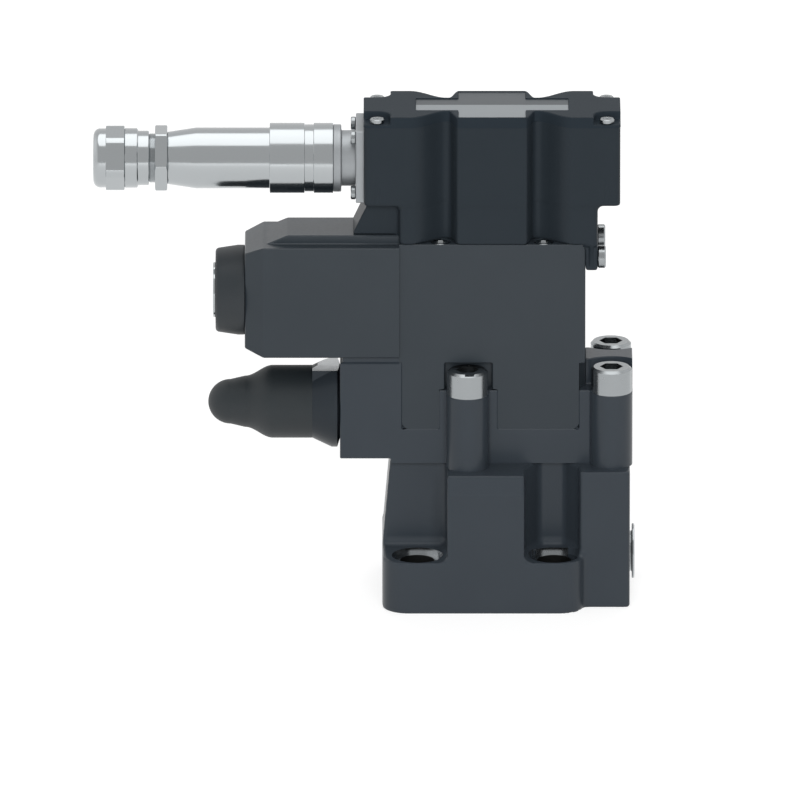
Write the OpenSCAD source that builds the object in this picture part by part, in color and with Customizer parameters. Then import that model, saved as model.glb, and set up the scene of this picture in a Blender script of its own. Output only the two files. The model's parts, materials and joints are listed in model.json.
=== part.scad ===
// Proportional pressure relief valve, size 10, for subplate mounting
// Millimetres. +X points away from the solenoid, +Z up, and the origin is the
// centre of the mounting pattern on the mounting face.

/* [Mounting] */
// Distance between the mounting screws, both ways
mount_pitch = 53.8; // [52:0.1:56]
// Width of each mounting screw hole
mount_hole_d = 13.5; // [12.5:0.1:14.5]
// Width of the spot face round each mounting hole
spot_face_d = 20; // [18:0.5:22]
// Depth of the spot face
spot_face_depth = 2; // [1:0.5:3]
// Width of the pressure and tank ports
port_d = 14; // [10:0.5:15]
// Place of the pressure port along X
port_p_x = -4.8; // [-5.5:0.1:-4]
// Distance from the pressure port to the tank port
port_spacing = 25.4; // [25:0.1:27]
// Width of the pilot port
port_x_d = 3.2; // [2:0.1:5]

/* [Main body] */
// Left edge of the mounting flange, from the origin
flange_left = 40.7; // [39:0.1:43]
// Right edge of the mounting flange, from the origin
flange_right = 38.8; // [38:0.1:40]
// Depth of the mounting flange, front to back
flange_depth = 75.4; // [74:0.1:80]
// Height of the mounting flange
flange_h = 21; // [20:0.5:23]
// Radius of the flange's corners
flange_corner_r = 10; // [4:0.5:12]
// Height of the main body
body_h = 56; // [54:0.5:60]
// Half width of the pillar between the mounting screws
pillar_half = 15.2; // [14:0.1:15.4]
// Right end of the main body, from the origin
body_right = 57.7; // [57:0.1:62]
// Depth of the block at the right end
end_block_depth = 58.4; // [56:0.1:64]
// Depth of the wall behind the screw pockets
pocket_wall_depth = 27; // [26:0.5:30]
// Width of the main bore
main_bore_d = 24; // [23:0.1:25]

/* [Cover] */
// Height of the cover's base slab
slab_h = 14; // [12:0.5:16]
// Depth of the cover, front to back
cover_depth = 34.4; // [33:0.1:36]
// Left end of the block that holds the pressure limiter
limiter_block_left = 57.3; // [55:0.1:60]
// Width of the limiter block along X
limiter_block_w = 24.4; // [22:0.1:26]
// Height of the limiter block
limiter_block_h = 39.2; // [38:0.1:40]
// Height of the screw seats above the main body
screw_seat_h = 29.8; // [28:0.1:32]
// Thickness of the cover screws' shanks
cover_screw_d = 10; // [9:0.5:10]
// Radius of the bosses round the cover screws
boss_r = 8.3; // [8:0.1:9]

/* [Pilot block] */
// Right end of the pilot block, from the origin
pilot_right = 39.1; // [38:0.1:40]
// Left end of the pilot block, from the origin
pilot_left = 34; // [33:0.1:36]
// How far the pilot block stands back from the box, in front and behind
pilot_setback = 1.5; // [0.5:0.1:3]
// Height of the pilot block
pilot_h = 75.5; // [74:0.5:78]

/* [Solenoid] */
// Height of the solenoid's axis above the pilot block's foot
solenoid_rise = 52; // [50:0.5:54]
// Length of the solenoid housing
solenoid_l = 60.7; // [58:0.1:66]
// Depth of the solenoid housing
solenoid_depth = 37.8; // [37:0.1:42]
// Height of the solenoid housing
solenoid_h = 44.9; // [44:0.1:46]
// Height of the rib on top of the solenoid housing
rib_h = 3.5; // [2:0.1:3.5]
// Outer width of the armature tube
armature_tube_d = 22; // [21:0.1:23]
// Width of the armature
armature_d = 18; // [16:0.1:18.5]
// Stroke of the armature
armature_stroke = 2; // [1.5:0.1:2.2]
// Thickness of the override pin and the push pin
pin_d = 5; // [4:0.1:6]

/* [Electronics housing] */
// Length of the electronics housing
box_l = 100.1; // [98:0.1:104]
// Depth of the electronics housing
box_depth = 37.2; // [36:0.1:40]
// Place of the housing's middle along X
box_x = 2.4; // [2:0.1:3]
// Height of the housing's neck
neck_h = 15.9; // [15:0.1:18]
// Height of the box on the neck
box_h = 32.3; // [31:0.1:36]
// Height of the lid
lid_h = 4.3; // [3.5:0.1:6]
// Wall of the electronics housing
box_wall = 2.6; // [2:0.1:3]
// Distance from the housing's middle to the screw in each wave of its side
foot_x = 20.25; // [19:0.05:21]
// Half depth of the housing at the waves
waist = 9.2; // [9:0.1:9.2]

/* [Cable entry] */
// Outer width of the cable entry's tube
tube_d = 24; // [22:0.1:26]
// Width of the tube's bore
tube_bore_d = 13; // [10:0.1:15]
// Length of the cable entry's stepped flange neck
entry_neck_l = 8.9; // [8:0.1:12]
// Length of the cable entry's tube with its thread
entry_tube_l = 72.3; // [60:0.1:80]
// Width of the hole through the gland's rubber insert
gland_bore_d = 9; // [7:0.1:12]
// Width across the flats of the gland nut
gland_flats = 23.2; // [22:0.1:25]

/* [Pressure limiter] */
// Width of the boot's barrel
boot_d = 28.7; // [28:0.1:32]
// Width of the collar's flare
flare_d = 35.8; // [33:0.1:36]
// Thickness of the adjusting screw
adjuster_d = 8; // [6:0.1:9]
// Travel of the adjusting screw
adjuster_travel = 4; // [2:0.5:4.5]
// Thickness of the boot's wall
boot_wall = 2.2; // [1.6:0.1:2.2]

/* [Hidden] */

casting = "#42464e";
cap_grey = "#33373d";
box_grey = "#333840";
steel = "#b4b8bb";
rubber = "#3a3e43";

smooth = 96;
small_smooth = 48;
// Radial clearance of parts that slide in each other
running = 0.04;
// Radial clearance of parts that are only dropped in
loose = 0.1;
// Extra length by which a cut passes through a face
past = 1;

// Heights of the stack's joints
cover_z = body_h;
pilot_z = cover_z + slab_h;
pilot_top = pilot_z + pilot_h;
box_z = pilot_top + neck_h;
lid_z = box_z + box_h;
lid_top = lid_z + lid_h;

// Main bore and its galleries
gallery_z = 14.5;
gallery_d = 12;
bore_floor_z = 8;
annulus_relief = 3;
annulus_d = main_bore_d + 2 * annulus_relief;
drain_offset = 3.2;
annulus_z = [9.5, 19.5];
port_t_x = port_p_x + port_spacing;
port_x_x = -mount_pitch / 2;
seal_section = 2.6;
seal_groove_depth = 2.7;
drain_x = port_p_x - main_bore_d / 2 - drain_offset;
drain_y = 5;
drain_d = 3;

// Cover screws
left_screw_x = -7.2;
screw_inset = 0.2082 * flange_depth;
left_screw = [left_screw_x, flange_depth / 2 - screw_inset];
end_screw_inset = 11.7;
right_screw = [body_right - boss_r, end_block_depth / 2 - end_screw_inset];
screw_head_d = 16;
screw_head_h = cover_screw_d;
screw_grip = 16;
seat_z = cover_z + screw_seat_h;
ear_span = [11.1, 11.9];
ear_x = [left_screw_x - ear_span[0], left_screw_x + ear_span[1]];
ear_inner = 12.5;
bridge_depth = 15.6;
bridge_rise = 0.2;
bridge_h = screw_seat_h + screw_head_h + bridge_rise;
shoulder_gap = 1;
pilot_shoulder_z = cover_z + bridge_h + shoulder_gap;
shoulder_w = 2.5;
pilot_foot_right = pilot_right - shoulder_w;
pilot_foot_left = limiter_block_left - limiter_block_w;
limiter_block_gap = 1.8;

// Main stage
sleeve_d = main_bore_d - 2 * running;
sleeve_wall = 4;
poppet_d = main_bore_d - 2 * sleeve_wall;
seat_bore_d = poppet_d - 4;
seat_rise = 3.6;
seat_edge_z = bore_floor_z + seat_rise;
tip_drop = 0.56;
poppet_tip_z = seat_edge_z - tip_drop;
poppet_cone_h = 3;
poppet_cone_r = seat_bore_d / 2 - 0.5;
poppet_headroom = 14;
poppet_top_z = body_h - poppet_headroom;
poppet_wall = 2.5;
poppet_bore_d = poppet_d - 2 * poppet_wall;
poppet_floor = 6;
damping_d = 1.2;
spring_pocket_d = poppet_bore_d + 2;
spring_pocket_depth = 6;
main_wire = 1.5;
main_spring_play = 0.8;

// Solenoid, measured along X from the pilot block's left end
axis_z = pilot_z + solenoid_rise;
coil_wall = 1.9;
pole_inset = 20;
pole_face = -pilot_left - pole_inset;
armature_rest = 0.3;
armature_gap = armature_stroke + armature_rest;
armature_l = 26;
tube_in_block = 12;
tube_right = tube_in_block - pilot_left;
needle_chamber_d = 14;
needle_chamber_l = 30;
needle_chamber_right = tube_right + needle_chamber_l;
needle_seat_l = 8;
needle_seat_x = needle_chamber_right - needle_seat_l;
orifice_d = 3;
solenoid_left = -pilot_left - solenoid_l;
solenoid_low = axis_z - solenoid_h / 2;
cap_l = 11.5;
cap_left = solenoid_left - cap_l;
tube_in_cap = 5.2;
tube_left = cap_left + tube_in_cap;
cap_d = 35.4;
plug_d = 21.8;

// Pressure limiter
limiter_rise = 6.1;
limiter_z = pilot_z + limiter_rise;
block_face = -limiter_block_left;
cartridge_d = 20;
limiter_seat_l = 6.1;
limiter_seat_x = block_face + limiter_block_w - limiter_seat_l;
chamber_d = 14.2;
cartridge_l = 7.3;
cartridge_right = block_face + cartridge_l;
flare_l = 10.9;
shoulder_x = block_face - flare_l;
spigot_d = 23.6;
spigot_part_l = 11.8;
collar_left = shoulder_x - spigot_part_l;
boot_gap = 0.3;
collar_head_l = 7;
chamber_left = collar_left + collar_head_l;
seat_play = 2;
screw_tip = chamber_left + seat_play;
nut_l = 6.5;
screw_grip_l = 9.5;
screw_end = collar_left - nut_l - adjuster_travel - screw_grip_l;

// Cable entry
entry_drop = 1.55;
entry_z = box_z + box_h / 2 - entry_drop;
box_left = box_x - box_l / 2;
plate_t = 3.4;
plate_inset = 11.1;
plate_w = box_depth - plate_inset;
plate_short = 3.1;
plate_h = box_h - plate_short;
plate_left = box_left - plate_t;
neck_left = plate_left - entry_neck_l;
tube_end = neck_left - entry_tube_l;
spigot_l = 6;
lock_nut_t = 4.8;
thread_d = tube_d - 4.3;
gland_step_l = 4.4;
gland_step_x = tube_end - gland_step_l;
gland_collar_l = 5.2;
gland_collar_x = gland_step_x - gland_collar_l;
gland_hex_l = 7.3;
gland_hex_x = gland_collar_x - gland_hex_l;
gland_dome_l = 5;
gland_tip_x = gland_hex_x - gland_dome_l;

// Box from ranges along X, Y and Z
module block(x, y, z) {
    translate([x[0], y[0], z[0]]) cube([x[1] - x[0], y[1] - y[0], z[1] - z[0]]);
}

// Box with the valve's middle plane in its middle
module slab(x, depth, z) {
    block(x, [-depth / 2, depth / 2], z);
}

// Round bar along X
module bar_x(x, d, z, y = 0, fn = smooth) {
    translate([x[0], y, z]) rotate([0, 90, 0]) cylinder(d = d, h = x[1] - x[0], $fn = fn);
}

// Round bar along Z
module bar_z(z, d, x = 0, y = 0, fn = smooth) {
    translate([x, y, z[0]]) cylinder(d = d, h = z[1] - z[0], $fn = fn);
}

// Shape turned about an axis along X, from points [radius, place along X]
module turned_x(points, z) {
    translate([0, 0, z]) rotate([0, 90, 0]) rotate_extrude($fn = smooth) polygon(points);
}

flat_on_top = 30;

// Hexagonal bar along X, turned so that corners lie the given angle off the top
module hex_x(x, flats, z, off_top = flat_on_top) {
    translate([x[0], 0, z]) rotate([0, 90, 0]) rotate([0, 0, off_top])
        cylinder(d = flats / cos(30), h = x[1] - x[0], $fn = 6);
}

// Children once in front of the middle plane and once behind it
module front_and_back() {
    children();
    mirror([0, 1, 0]) children();
}

// Children at a place right of the housing's middle and at its mirror image
module left_and_right() {
    for (side = [-1, 1]) translate([box_x, 0, 0]) scale_x(side) children();
}

// Mirror image across the plane X = 0 for side -1
module scale_x(side) {
    if (side < 0) mirror([1, 0, 0]) children();
    else children();
}

// Plan of a rectangle with round corners
module round_rect(w, d, r) {
    square([w - 2 * r, d], center = true);
    square([w, d - 2 * r], center = true);
    for (x = [-1, 1], y = [-1, 1])
        translate([x * (w / 2 - r), y * (d / 2 - r)]) circle(r = r, $fn = small_smooth);
}

// O-ring that lies flat
module flat_ring(inner_d, section, x, y, z) {
    translate([x, y, z]) rotate_extrude($fn = smooth)
        translate([inner_d / 2 + section / 2, 0]) circle(d = section, $fn = 24);
}

// Coil of round wire that stands on z = 0
module spring(coil_d, wire, length, turns) {
    steps = 18;
    sides = 8;
    rings = floor(turns * steps);
    rise = (length - wire) / rings;
    points = [
        for (i = [0 : rings], j = [0 : sides - 1])
            let (turn = i * 360 / steps, a = j * 360 / sides, r = (coil_d - wire + wire * cos(a)) / 2)
            [r * cos(turn), r * sin(turn), wire / 2 + i * rise + wire / 2 * sin(a)]
    ];
    quads = [
        for (i = [0 : rings - 1], j = [0 : sides - 1])
            let (k = (j + 1) % sides)
            [i * sides + j, (i + 1) * sides + j, (i + 1) * sides + k, i * sides + k]
    ];
    first_end = [for (j = [0 : sides - 1]) j];
    last_end = [for (j = [sides - 1 : -1 : 0]) rings * sides + j];
    polyhedron(points, concat(quads, [first_end, last_end]));
}

// Socket-head screw with its seat at the origin and its head upwards
module socket_screw(head_d, head_h, shank_d, length, key, key_depth) {
    difference() {
        cylinder(d = head_d, h = head_h, $fn = small_smooth);
        translate([0, 0, head_h - key_depth]) cylinder(d = key / cos(30), h = key_depth + past, $fn = 6);
    }
    translate([0, 0, -length]) cylinder(d = shank_d, h = length, $fn = small_smooth);
}

// Screw places of the cover
module at_cover_screws() {
    front_and_back() {
        translate(left_screw) children();
        translate(right_screw) children();
    }
}

// Lid screws stand in the housing's four corners
lid_screw_inset = 5;
lid_screw_x = box_l / 2 - lid_screw_inset;
lid_screw_edge = 3.3;
lid_screw_y = box_depth / 2 - lid_screw_edge;
lid_screw_d = 3.5;
lid_pad_h = 1.2;
lid_pad_r = 5.2;

module at_lid_screws() {
    front_and_back() left_and_right() translate([lid_screw_x, -lid_screw_y, 0]) children();
}

// Housing screws stand in the waves
foot_screw_y = 12.8;
foot_screw_d = 4;
foot_t = 2;
foot_d = 7.8;
foot_head_h = 1.7;
foot_head_d = 7;
foot_sink = foot_head_h + loose;
foot_low = pilot_top - foot_sink - foot_t;
foot_screw_l = 9;
foot_root = 5;
foot_rib = 3;

module at_housing_screws() {
    front_and_back() left_and_right() translate([foot_x, -foot_screw_y, 0]) children();
}

// Side screws hold the lip at the right end of the housing
lip_t = 4.8;
lip_h = 10.1;
lip_overhang = 0.3;
lip_depth = box_depth + 2 * lip_overhang;
pilot_depth = box_depth - 2 * pilot_setback;
side_screw_inset = 2.6;
side_screw_y = pilot_depth / 2 - side_screw_inset;
side_screw_d = 4;
side_screw_l = 10;
side_screw_drop = 5.6;
side_screw_z = pilot_top - side_screw_drop;

module at_side_screws() {
    front_and_back() translate([pilot_right + lip_t, -side_screw_y, side_screw_z]) rotate([0, 90, 0]) children();
}

// Screws of the cable entry's flange
flange_screw_d = 3;
flange_screw_inset = [3.05, 3.4];
flange_screw_y = plate_w / 2 - flange_screw_inset[0];
flange_screw_rise = plate_h / 2 - flange_screw_inset[1];
flange_screw_l = 6;

module at_flange_screws() {
    for (y = [-1, 1], z = [-1, 1])
        translate([plate_left, y * flange_screw_y, entry_z + z * flange_screw_rise]) rotate([0, -90, 0]) children();
}

// Screw pocket beside the pillar, open to the front
module right_screw_pocket() {
    wall = pocket_wall_depth / 2;
    step = 0.2;
    floor_span = [5.7, 4.1];
    slope_depth = 11;
    mouth = [pillar_half + step, flange_right];
    floor_x = [mount_pitch / 2 - floor_span[0], mount_pitch / 2 + floor_span[1]];
    knee = wall + slope_depth;
    translate([0, 0, flange_h]) linear_extrude(body_h)
        polygon([
            [mouth[0], -end_block_depth], [mouth[0], -knee], [floor_x[0], -wall],
            [floor_x[1], -wall], [mouth[1], -knee], [mouth[1], -end_block_depth]
        ]);
}

// Outline of the upper left wall, which leans in towards the top
module left_wall() {
    lean = 3.1;
    rotate([90, 0, 0]) linear_extrude(pocket_wall_depth, center = true)
        polygon([[0, 0], [-flange_left, 0], [-flange_left, flange_h], [-flange_left + lean, body_h], [0, body_h]]);
}

// Pillar between the screw pockets, which leans back near its top
module pillar() {
    lean = 2.7;
    lean_h = 8;
    half = flange_depth / 2;
    rotate([90, 0, 90]) translate([0, 0, -pillar_half]) linear_extrude(2 * pillar_half)
        polygon([
            [-half, 0], [-half, body_h - lean_h], [-half + lean, body_h],
            [half - lean, body_h], [half, body_h - lean_h], [half, 0]
        ]);
}

module mounting_flange() {
    width = flange_left + flange_right;
    translate([(flange_right - flange_left) / 2, 0, 0])
        linear_extrude(flange_h) round_rect(width, flange_depth, flange_corner_r);
}

// Ring groove in the mounting face
module port_groove(x, inner_d) {
    bar_z([-past, seal_groove_depth], inner_d + 2 * seal_section + loose, x);
}

port_seal_d = port_d + 1.5 * seal_section;
port_x_seal_gap = 5.9;
port_x_seal_d = port_x_d + port_x_seal_gap;
seal_lift = 0.05;
screw_hole_spare = 4;

module main_body() {
    color(casting) difference() {
        union() {
            mounting_flange();
            pillar();
            left_wall();
            difference() {
                slab([0, body_right], end_block_depth, [0, body_h]);
                front_and_back() right_screw_pocket();
            }
        }
        for (x = [-1, 1], y = [-1, 1]) {
            bar_z([-past, flange_h + past], mount_hole_d, x * mount_pitch / 2, y * mount_pitch / 2);
            bar_z([flange_h - spot_face_depth, flange_h + past], spot_face_d, x * mount_pitch / 2, y * mount_pitch / 2);
        }
        bar_z([-past, bore_floor_z + past], port_d, port_p_x);
        bar_z([bore_floor_z, body_h + past], main_bore_d, port_p_x);
        bar_z(annulus_z, annulus_d, port_p_x);
        bar_x([port_p_x, body_right + past], gallery_d, gallery_z);
        bar_z([-past, gallery_z], port_d, port_t_x);
        bar_z([-past, body_h + past], port_x_d, port_x_x, fn = small_smooth);
        bar_z([annulus_z[1] - past, body_h + past], drain_d, drain_x, drain_y, small_smooth);
        port_groove(port_p_x, port_seal_d);
        port_groove(port_t_x, port_seal_d);
        port_groove(port_x_x, port_x_seal_d);
        at_cover_screws() bar_z([body_h - screw_grip - screw_hole_spare, body_h + past], cover_screw_d + 2 * loose);
        bar_x([body_right - plug_l, body_right + past], plug_shank_d + 2 * running, gallery_z);
    }
}

plug_l = 10;
plug_shank_d = 16;
plug_head_t = 1;

module gallery_plug() {
    color(steel) {
        bar_x([body_right - plug_l + loose, body_right], plug_shank_d, gallery_z);
        bar_x([body_right, body_right + plug_head_t], plug_d, gallery_z);
    }
}

module port_seal_p() {
    color(rubber) flat_ring(port_seal_d, seal_section, port_p_x, 0, seal_section / 2 + seal_lift);
}

module port_seal_t() {
    color(rubber) flat_ring(port_seal_d, seal_section, port_t_x, 0, seal_section / 2 + seal_lift);
}

module port_seal_x() {
    color(rubber) flat_ring(port_x_seal_d, seal_section, port_x_x, 0, seal_section / 2 + seal_lift);
}

// Ring that seals the main bore against the cover
cover_seal_gap = 1;
cover_seal_d = main_bore_d + cover_seal_gap;
cover_seal_section = 1.8;
seal_play = 0.1;

module cover_seal_groove() {
    translate([port_p_x, 0, cover_z - past]) difference() {
        cylinder(d = cover_seal_d + 2 * cover_seal_section + loose, h = cover_seal_section + past, $fn = smooth);
        translate([0, 0, -past]) cylinder(d = cover_seal_d - loose, h = cover_seal_section + 3 * past, $fn = smooth);
    }
}

module cover_seal() {
    color(rubber) flat_ring(cover_seal_d, cover_seal_section - seal_play, port_p_x, 0, cover_z + cover_seal_section / 2);
}

// Sleeve of the main stage, with the seat at its lower end
sleeve_seal_z = 32;
sleeve_seal_section = 1.8;

module main_sleeve() {
    holes = 4;
    hole_d = 7;
    color(steel) difference() {
        bar_z([bore_floor_z, cover_z], sleeve_d, port_p_x);
        bar_z([bore_floor_z - past, cover_z], seat_bore_d, port_p_x);
        bar_z([seat_edge_z, cover_z + past], poppet_d + 2 * running, port_p_x);
        for (i = [0 : holes - 1])
            translate([port_p_x, 0, seat_edge_z + hole_d / 2]) rotate([0, 90, i * 360 / holes])
                cylinder(d = hole_d, h = sleeve_d, $fn = small_smooth);
        translate([port_p_x, 0, sleeve_seal_z]) difference() {
            cylinder(d = sleeve_d + past, h = sleeve_seal_section, $fn = smooth);
            translate([0, 0, -past])
                cylinder(d = sleeve_d - 2 * sleeve_seal_section, h = sleeve_seal_section + 2 * past, $fn = smooth);
        }
    }
}

module sleeve_seal() {
    section = sleeve_seal_section - seal_play;
    inner = sleeve_d - 2 * sleeve_seal_section + seal_play;
    color(rubber) flat_ring(inner, section, port_p_x, 0, sleeve_seal_z + sleeve_seal_section / 2);
}

module main_poppet() {
    color(steel) difference() {
        translate([port_p_x, 0, 0]) rotate_extrude($fn = smooth) polygon([
            [0, poppet_tip_z], [poppet_cone_r, poppet_tip_z], [poppet_d / 2, poppet_tip_z + poppet_cone_h],
            [poppet_d / 2, poppet_top_z], [0, poppet_top_z]
        ]);
        bar_z([poppet_tip_z + poppet_floor, poppet_top_z + past], poppet_bore_d, port_p_x);
        bar_z([poppet_tip_z - past, poppet_tip_z + poppet_floor + past], damping_d, port_p_x, fn = small_smooth);
    }
}

module main_spring() {
    low = poppet_tip_z + poppet_floor;
    color(steel) translate([port_p_x, 0, low])
        spring(poppet_bore_d - main_spring_play, main_wire, cover_z + spring_pocket_depth - low, 9);
}

// Slanted drilling from the main spring's chamber to the pilot block
passage_offset = 4;
pilot_passage_x = needle_chamber_right + passage_offset;
passage_d = 4;
jet_l = 5;
jet_depth = 6;
jet_hole_d = 1;

passage_run = pilot_passage_x - port_p_x;
passage_drop = slab_h - spring_pocket_depth / 2;
passage_l = norm([passage_run, passage_drop]);

module slanted_passage(d, from_top, length) {
    translate([pilot_passage_x, 0, pilot_z]) rotate([0, 180 + atan(passage_run / passage_drop), 0])
        translate([0, 0, from_top]) cylinder(d = d, h = length, $fn = small_smooth);
}

// Concave room round a right-hand screw head
module head_room(z) {
    front_and_back() translate([right_screw[0], right_screw[1], 0])
        bar_z(z, 2 * (right_screw[0] - pilot_foot_right));
}

module cover_ears() {
    front_and_back() {
        block(ear_x, [ear_inner, cover_depth / 2], [cover_z, seat_z]);
        translate(left_screw) {
            bar_z([cover_z, seat_z], 2 * boss_r);
            block([-boss_r, boss_r], [-left_screw[1] + ear_inner, 0], [cover_z, seat_z]);
        }
    }
}

module cover_right_end() {
    slab([pilot_foot_right, body_right], cover_depth, [cover_z, seat_z]);
    front_and_back() translate(right_screw) bar_z([cover_z, seat_z], 2 * boss_r);
    difference() {
        slab([pilot_foot_right, body_right], cover_depth, [seat_z, cover_z + bridge_h]);
        head_room([seat_z - past, cover_z + bridge_h + past]);
        front_and_back() block([right_screw[0], body_right + past], [bridge_depth / 2, cover_depth],
            [seat_z - past, cover_z + bridge_h + past]);
        block([pilot_foot_right - past, pilot_right], [-cover_depth, cover_depth],
            [seat_z, cover_z + bridge_h + past]);
    }
}

module cover_body() {
    block_x = [block_face, block_face + limiter_block_w];
    color(casting) difference() {
        union() {
            slab([block_x[1] - past, body_right], cover_depth, [cover_z, pilot_z]);
            slab(block_x, cover_depth, [cover_z + limiter_block_gap, cover_z + limiter_block_gap + limiter_block_h]);
            cover_ears();
            cover_right_end();
        }
        at_cover_screws() bar_z([cover_z - past, seat_z + past], cover_screw_d + 2 * loose);
        bar_z([cover_z - past, cover_z + spring_pocket_depth], spring_pocket_d, port_p_x);
        slanted_passage(passage_d, -past, passage_l + past);
        cover_seal_groove();
        bar_z([cover_z - past, pilot_z + past], drain_d, drain_x, drain_y, small_smooth);
        bar_z([cover_z - past, pilot_z + past], port_x_d, port_x_x, fn = small_smooth);
        bar_x([block_face - past, limiter_seat_x], cartridge_d, limiter_z);
        bar_x([limiter_seat_x - past, block_x[1] + past], limiter_seat_d + 2 * running, limiter_z);
    }
}

module pilot_orifice() {
    color("#c8a24a") difference() {
        slanted_passage(passage_d - 2 * running, jet_depth, jet_l);
        slanted_passage(jet_hole_d, jet_depth - past, jet_l + 2 * past);
    }
}

module cover_bolts() {
    length = screw_seat_h + screw_grip;
    color(steel) translate([0, 0, seat_z]) at_cover_screws()
        socket_screw(screw_head_d, screw_head_h, cover_screw_d, length, screw_head_d / 2, screw_head_h / 2);
}

// Notches for the cover's ears and the left-hand screw heads
module ear_notches() {
    gap = 0.3;
    head_gap = [1, 1.8, 1.2];
    head_r = screw_head_d / 2;
    head_notch_x = [left_screw[0] - head_r - head_gap[0], left_screw[0] + head_r + head_gap[1]];
    front_and_back() {
        block([ear_x[0] - gap, ear_x[1] + gap], [ear_inner - gap, pilot_depth], [pilot_z - past, seat_z + gap]);
        block(head_notch_x, [ear_inner - gap, pilot_depth], [pilot_z, seat_z + screw_head_h + head_gap[2]]);
    }
}

module pilot_block() {
    head_room_top = pilot_shoulder_z;
    color(casting) difference() {
        union() {
            slab([-pilot_foot_left, pilot_foot_right], pilot_depth, [pilot_z, pilot_shoulder_z]);
            slab([-pilot_foot_left, pilot_right], pilot_depth, [seat_z, pilot_shoulder_z]);
            slab([-pilot_left, pilot_right], pilot_depth, [pilot_shoulder_z, pilot_top]);
        }
        ear_notches();
        head_room([seat_z - past, head_room_top]);
        bar_x([-pilot_left - past, tube_right], armature_tube_d + 2 * running, axis_z);
        bar_x([tube_right - past, needle_chamber_right], needle_chamber_d + 2 * running, axis_z);
        bar_x([needle_seat_x, pilot_passage_x], passage_d, axis_z, fn = small_smooth);
        bar_z([pilot_z - past, axis_z], passage_d, pilot_passage_x, fn = small_smooth);
        bar_z([pilot_z - past, axis_z], drain_d, drain_x, drain_y, small_smooth);
        bar_x([-pilot_foot_left - past, pilot_passage_x], drain_d, limiter_z, fn = small_smooth);
        bar_z([pilot_z - past, limiter_z], port_x_d, port_x_x, fn = small_smooth);
        at_housing_screws() {
            bar_z([foot_low, pilot_top + past], foot_d + 2 * loose);
            bar_z([foot_low - foot_screw_l, pilot_top], foot_screw_d + 2 * loose);
        }
        at_side_screws() bar_z([-side_screw_l - lip_t, 0], side_screw_d + 2 * loose);
        front_and_back() left_and_right()
            block([foot_x - foot_d / 2 - loose, foot_x + foot_d / 2 + loose], [foot_root - loose, foot_screw_y],
                [foot_low, pilot_top + past]);
    }
}

module pilot_seat() {
    color(steel) difference() {
        bar_x([needle_seat_x, needle_chamber_right], needle_chamber_d, axis_z);
        bar_x([needle_seat_x - past, needle_chamber_right + past], orifice_d, axis_z, fn = small_smooth);
    }
}

// The needle's cone closes the seat when the armature has made its stroke
needle_l = 8;
needle_d = 8;
needle_tip_r = 0.4;
needle_slope = tan(30);
needle_gap = 0.05;
needle_contact_x = needle_seat_x - needle_gap - armature_stroke;
needle_tip_x = needle_contact_x + (orifice_d / 2 - needle_tip_r) / needle_slope;
needle_base_x = needle_contact_x - (needle_d / 2 - orifice_d / 2) / needle_slope;

module pilot_needle() {
    color(steel) turned_x([
        [0, needle_base_x - needle_l], [needle_d / 2, needle_base_x - needle_l],
        [needle_d / 2, needle_base_x], [needle_tip_r, needle_tip_x], [0, needle_tip_x]
    ], axis_z);
}

module push_pin() {
    color(steel) bar_x([pole_face - armature_gap, needle_base_x - needle_l], pin_d, axis_z, fn = small_smooth);
}

// The pole piece has a pocket for the return spring round the push pin
return_pocket_l = 8;
return_pocket_d = 10.5;
return_wire = 0.8;

module pole_piece() {
    color(steel) difference() {
        bar_x([pole_face, tube_right], armature_d, axis_z);
        bar_x([pole_face - past, tube_right + past], pin_d + 4 * running, axis_z, fn = small_smooth);
        bar_x([pole_face - past, pole_face + return_pocket_l], return_pocket_d, axis_z);
    }
}

module armature_spring() {
    start = pole_face - armature_gap;
    color(steel) translate([start, 0, axis_z]) rotate([0, 90, 0])
        spring(return_pocket_d - 1.25 * return_wire, return_wire, armature_gap + return_pocket_l, 5);
}

module armature() {
    right = pole_face - armature_gap;
    oil_hole_d = armature_d / 9;
    oil_hole_y = 0.36 * armature_d;
    color(steel) difference() {
        bar_x([right - armature_l, right], armature_d - 2 * running, axis_z);
        for (side = [-1, 1])
            bar_x([right - armature_l - past, right + past], oil_hole_d, axis_z, side * oil_hole_y, small_smooth);
    }
}

tube_wall_end = 3;

module armature_tube() {
    color(steel) difference() {
        bar_x([tube_left, tube_right], armature_tube_d, axis_z);
        bar_x([tube_left + tube_wall_end, tube_right + past], armature_d + 2 * running, axis_z);
        bar_x([tube_left - past, tube_left + tube_wall_end + past], pin_d + 4 * running, axis_z, fn = small_smooth);
    }
}

coil_inset = 5;
coil_left = solenoid_left + coil_inset;
coil_d = solenoid_depth - 2 * coil_wall;

module coil() {
    color("#9a5a2a") difference() {
        bar_x([coil_left, -pilot_left - loose], coil_d - 2 * loose, axis_z);
        bar_x([coil_left - past, -pilot_left + past], armature_tube_d + 2 * loose, axis_z);
    }
}

// Square shell with its left end chamfered all round
module solenoid_shell() {
    chamfer_l = 7.3;
    chamfer = 3.1;
    x = [solenoid_left, -pilot_left];
    z = [solenoid_low, solenoid_low + solenoid_h];
    half = solenoid_depth / 2;
    intersection() {
        rotate([90, 0, 0]) linear_extrude(solenoid_depth, center = true)
            polygon([
                [x[0], z[0] + chamfer], [x[0] + chamfer_l, z[0]], [x[1], z[0]],
                [x[1], z[1]], [x[0] + chamfer_l, z[1]], [x[0], z[1] - chamfer]
            ]);
        translate([0, 0, z[0]]) linear_extrude(solenoid_h)
            polygon([
                [x[0], half - chamfer], [x[0] + chamfer_l, half], [x[1], half],
                [x[1], -half], [x[0] + chamfer_l, -half], [x[0], -half + chamfer]
            ]);
    }
}

// Rib on the shell's top, with a ramp at its left end
rib_depth = 25.4;
rib_ramp = [7.7, 16.8];

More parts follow.
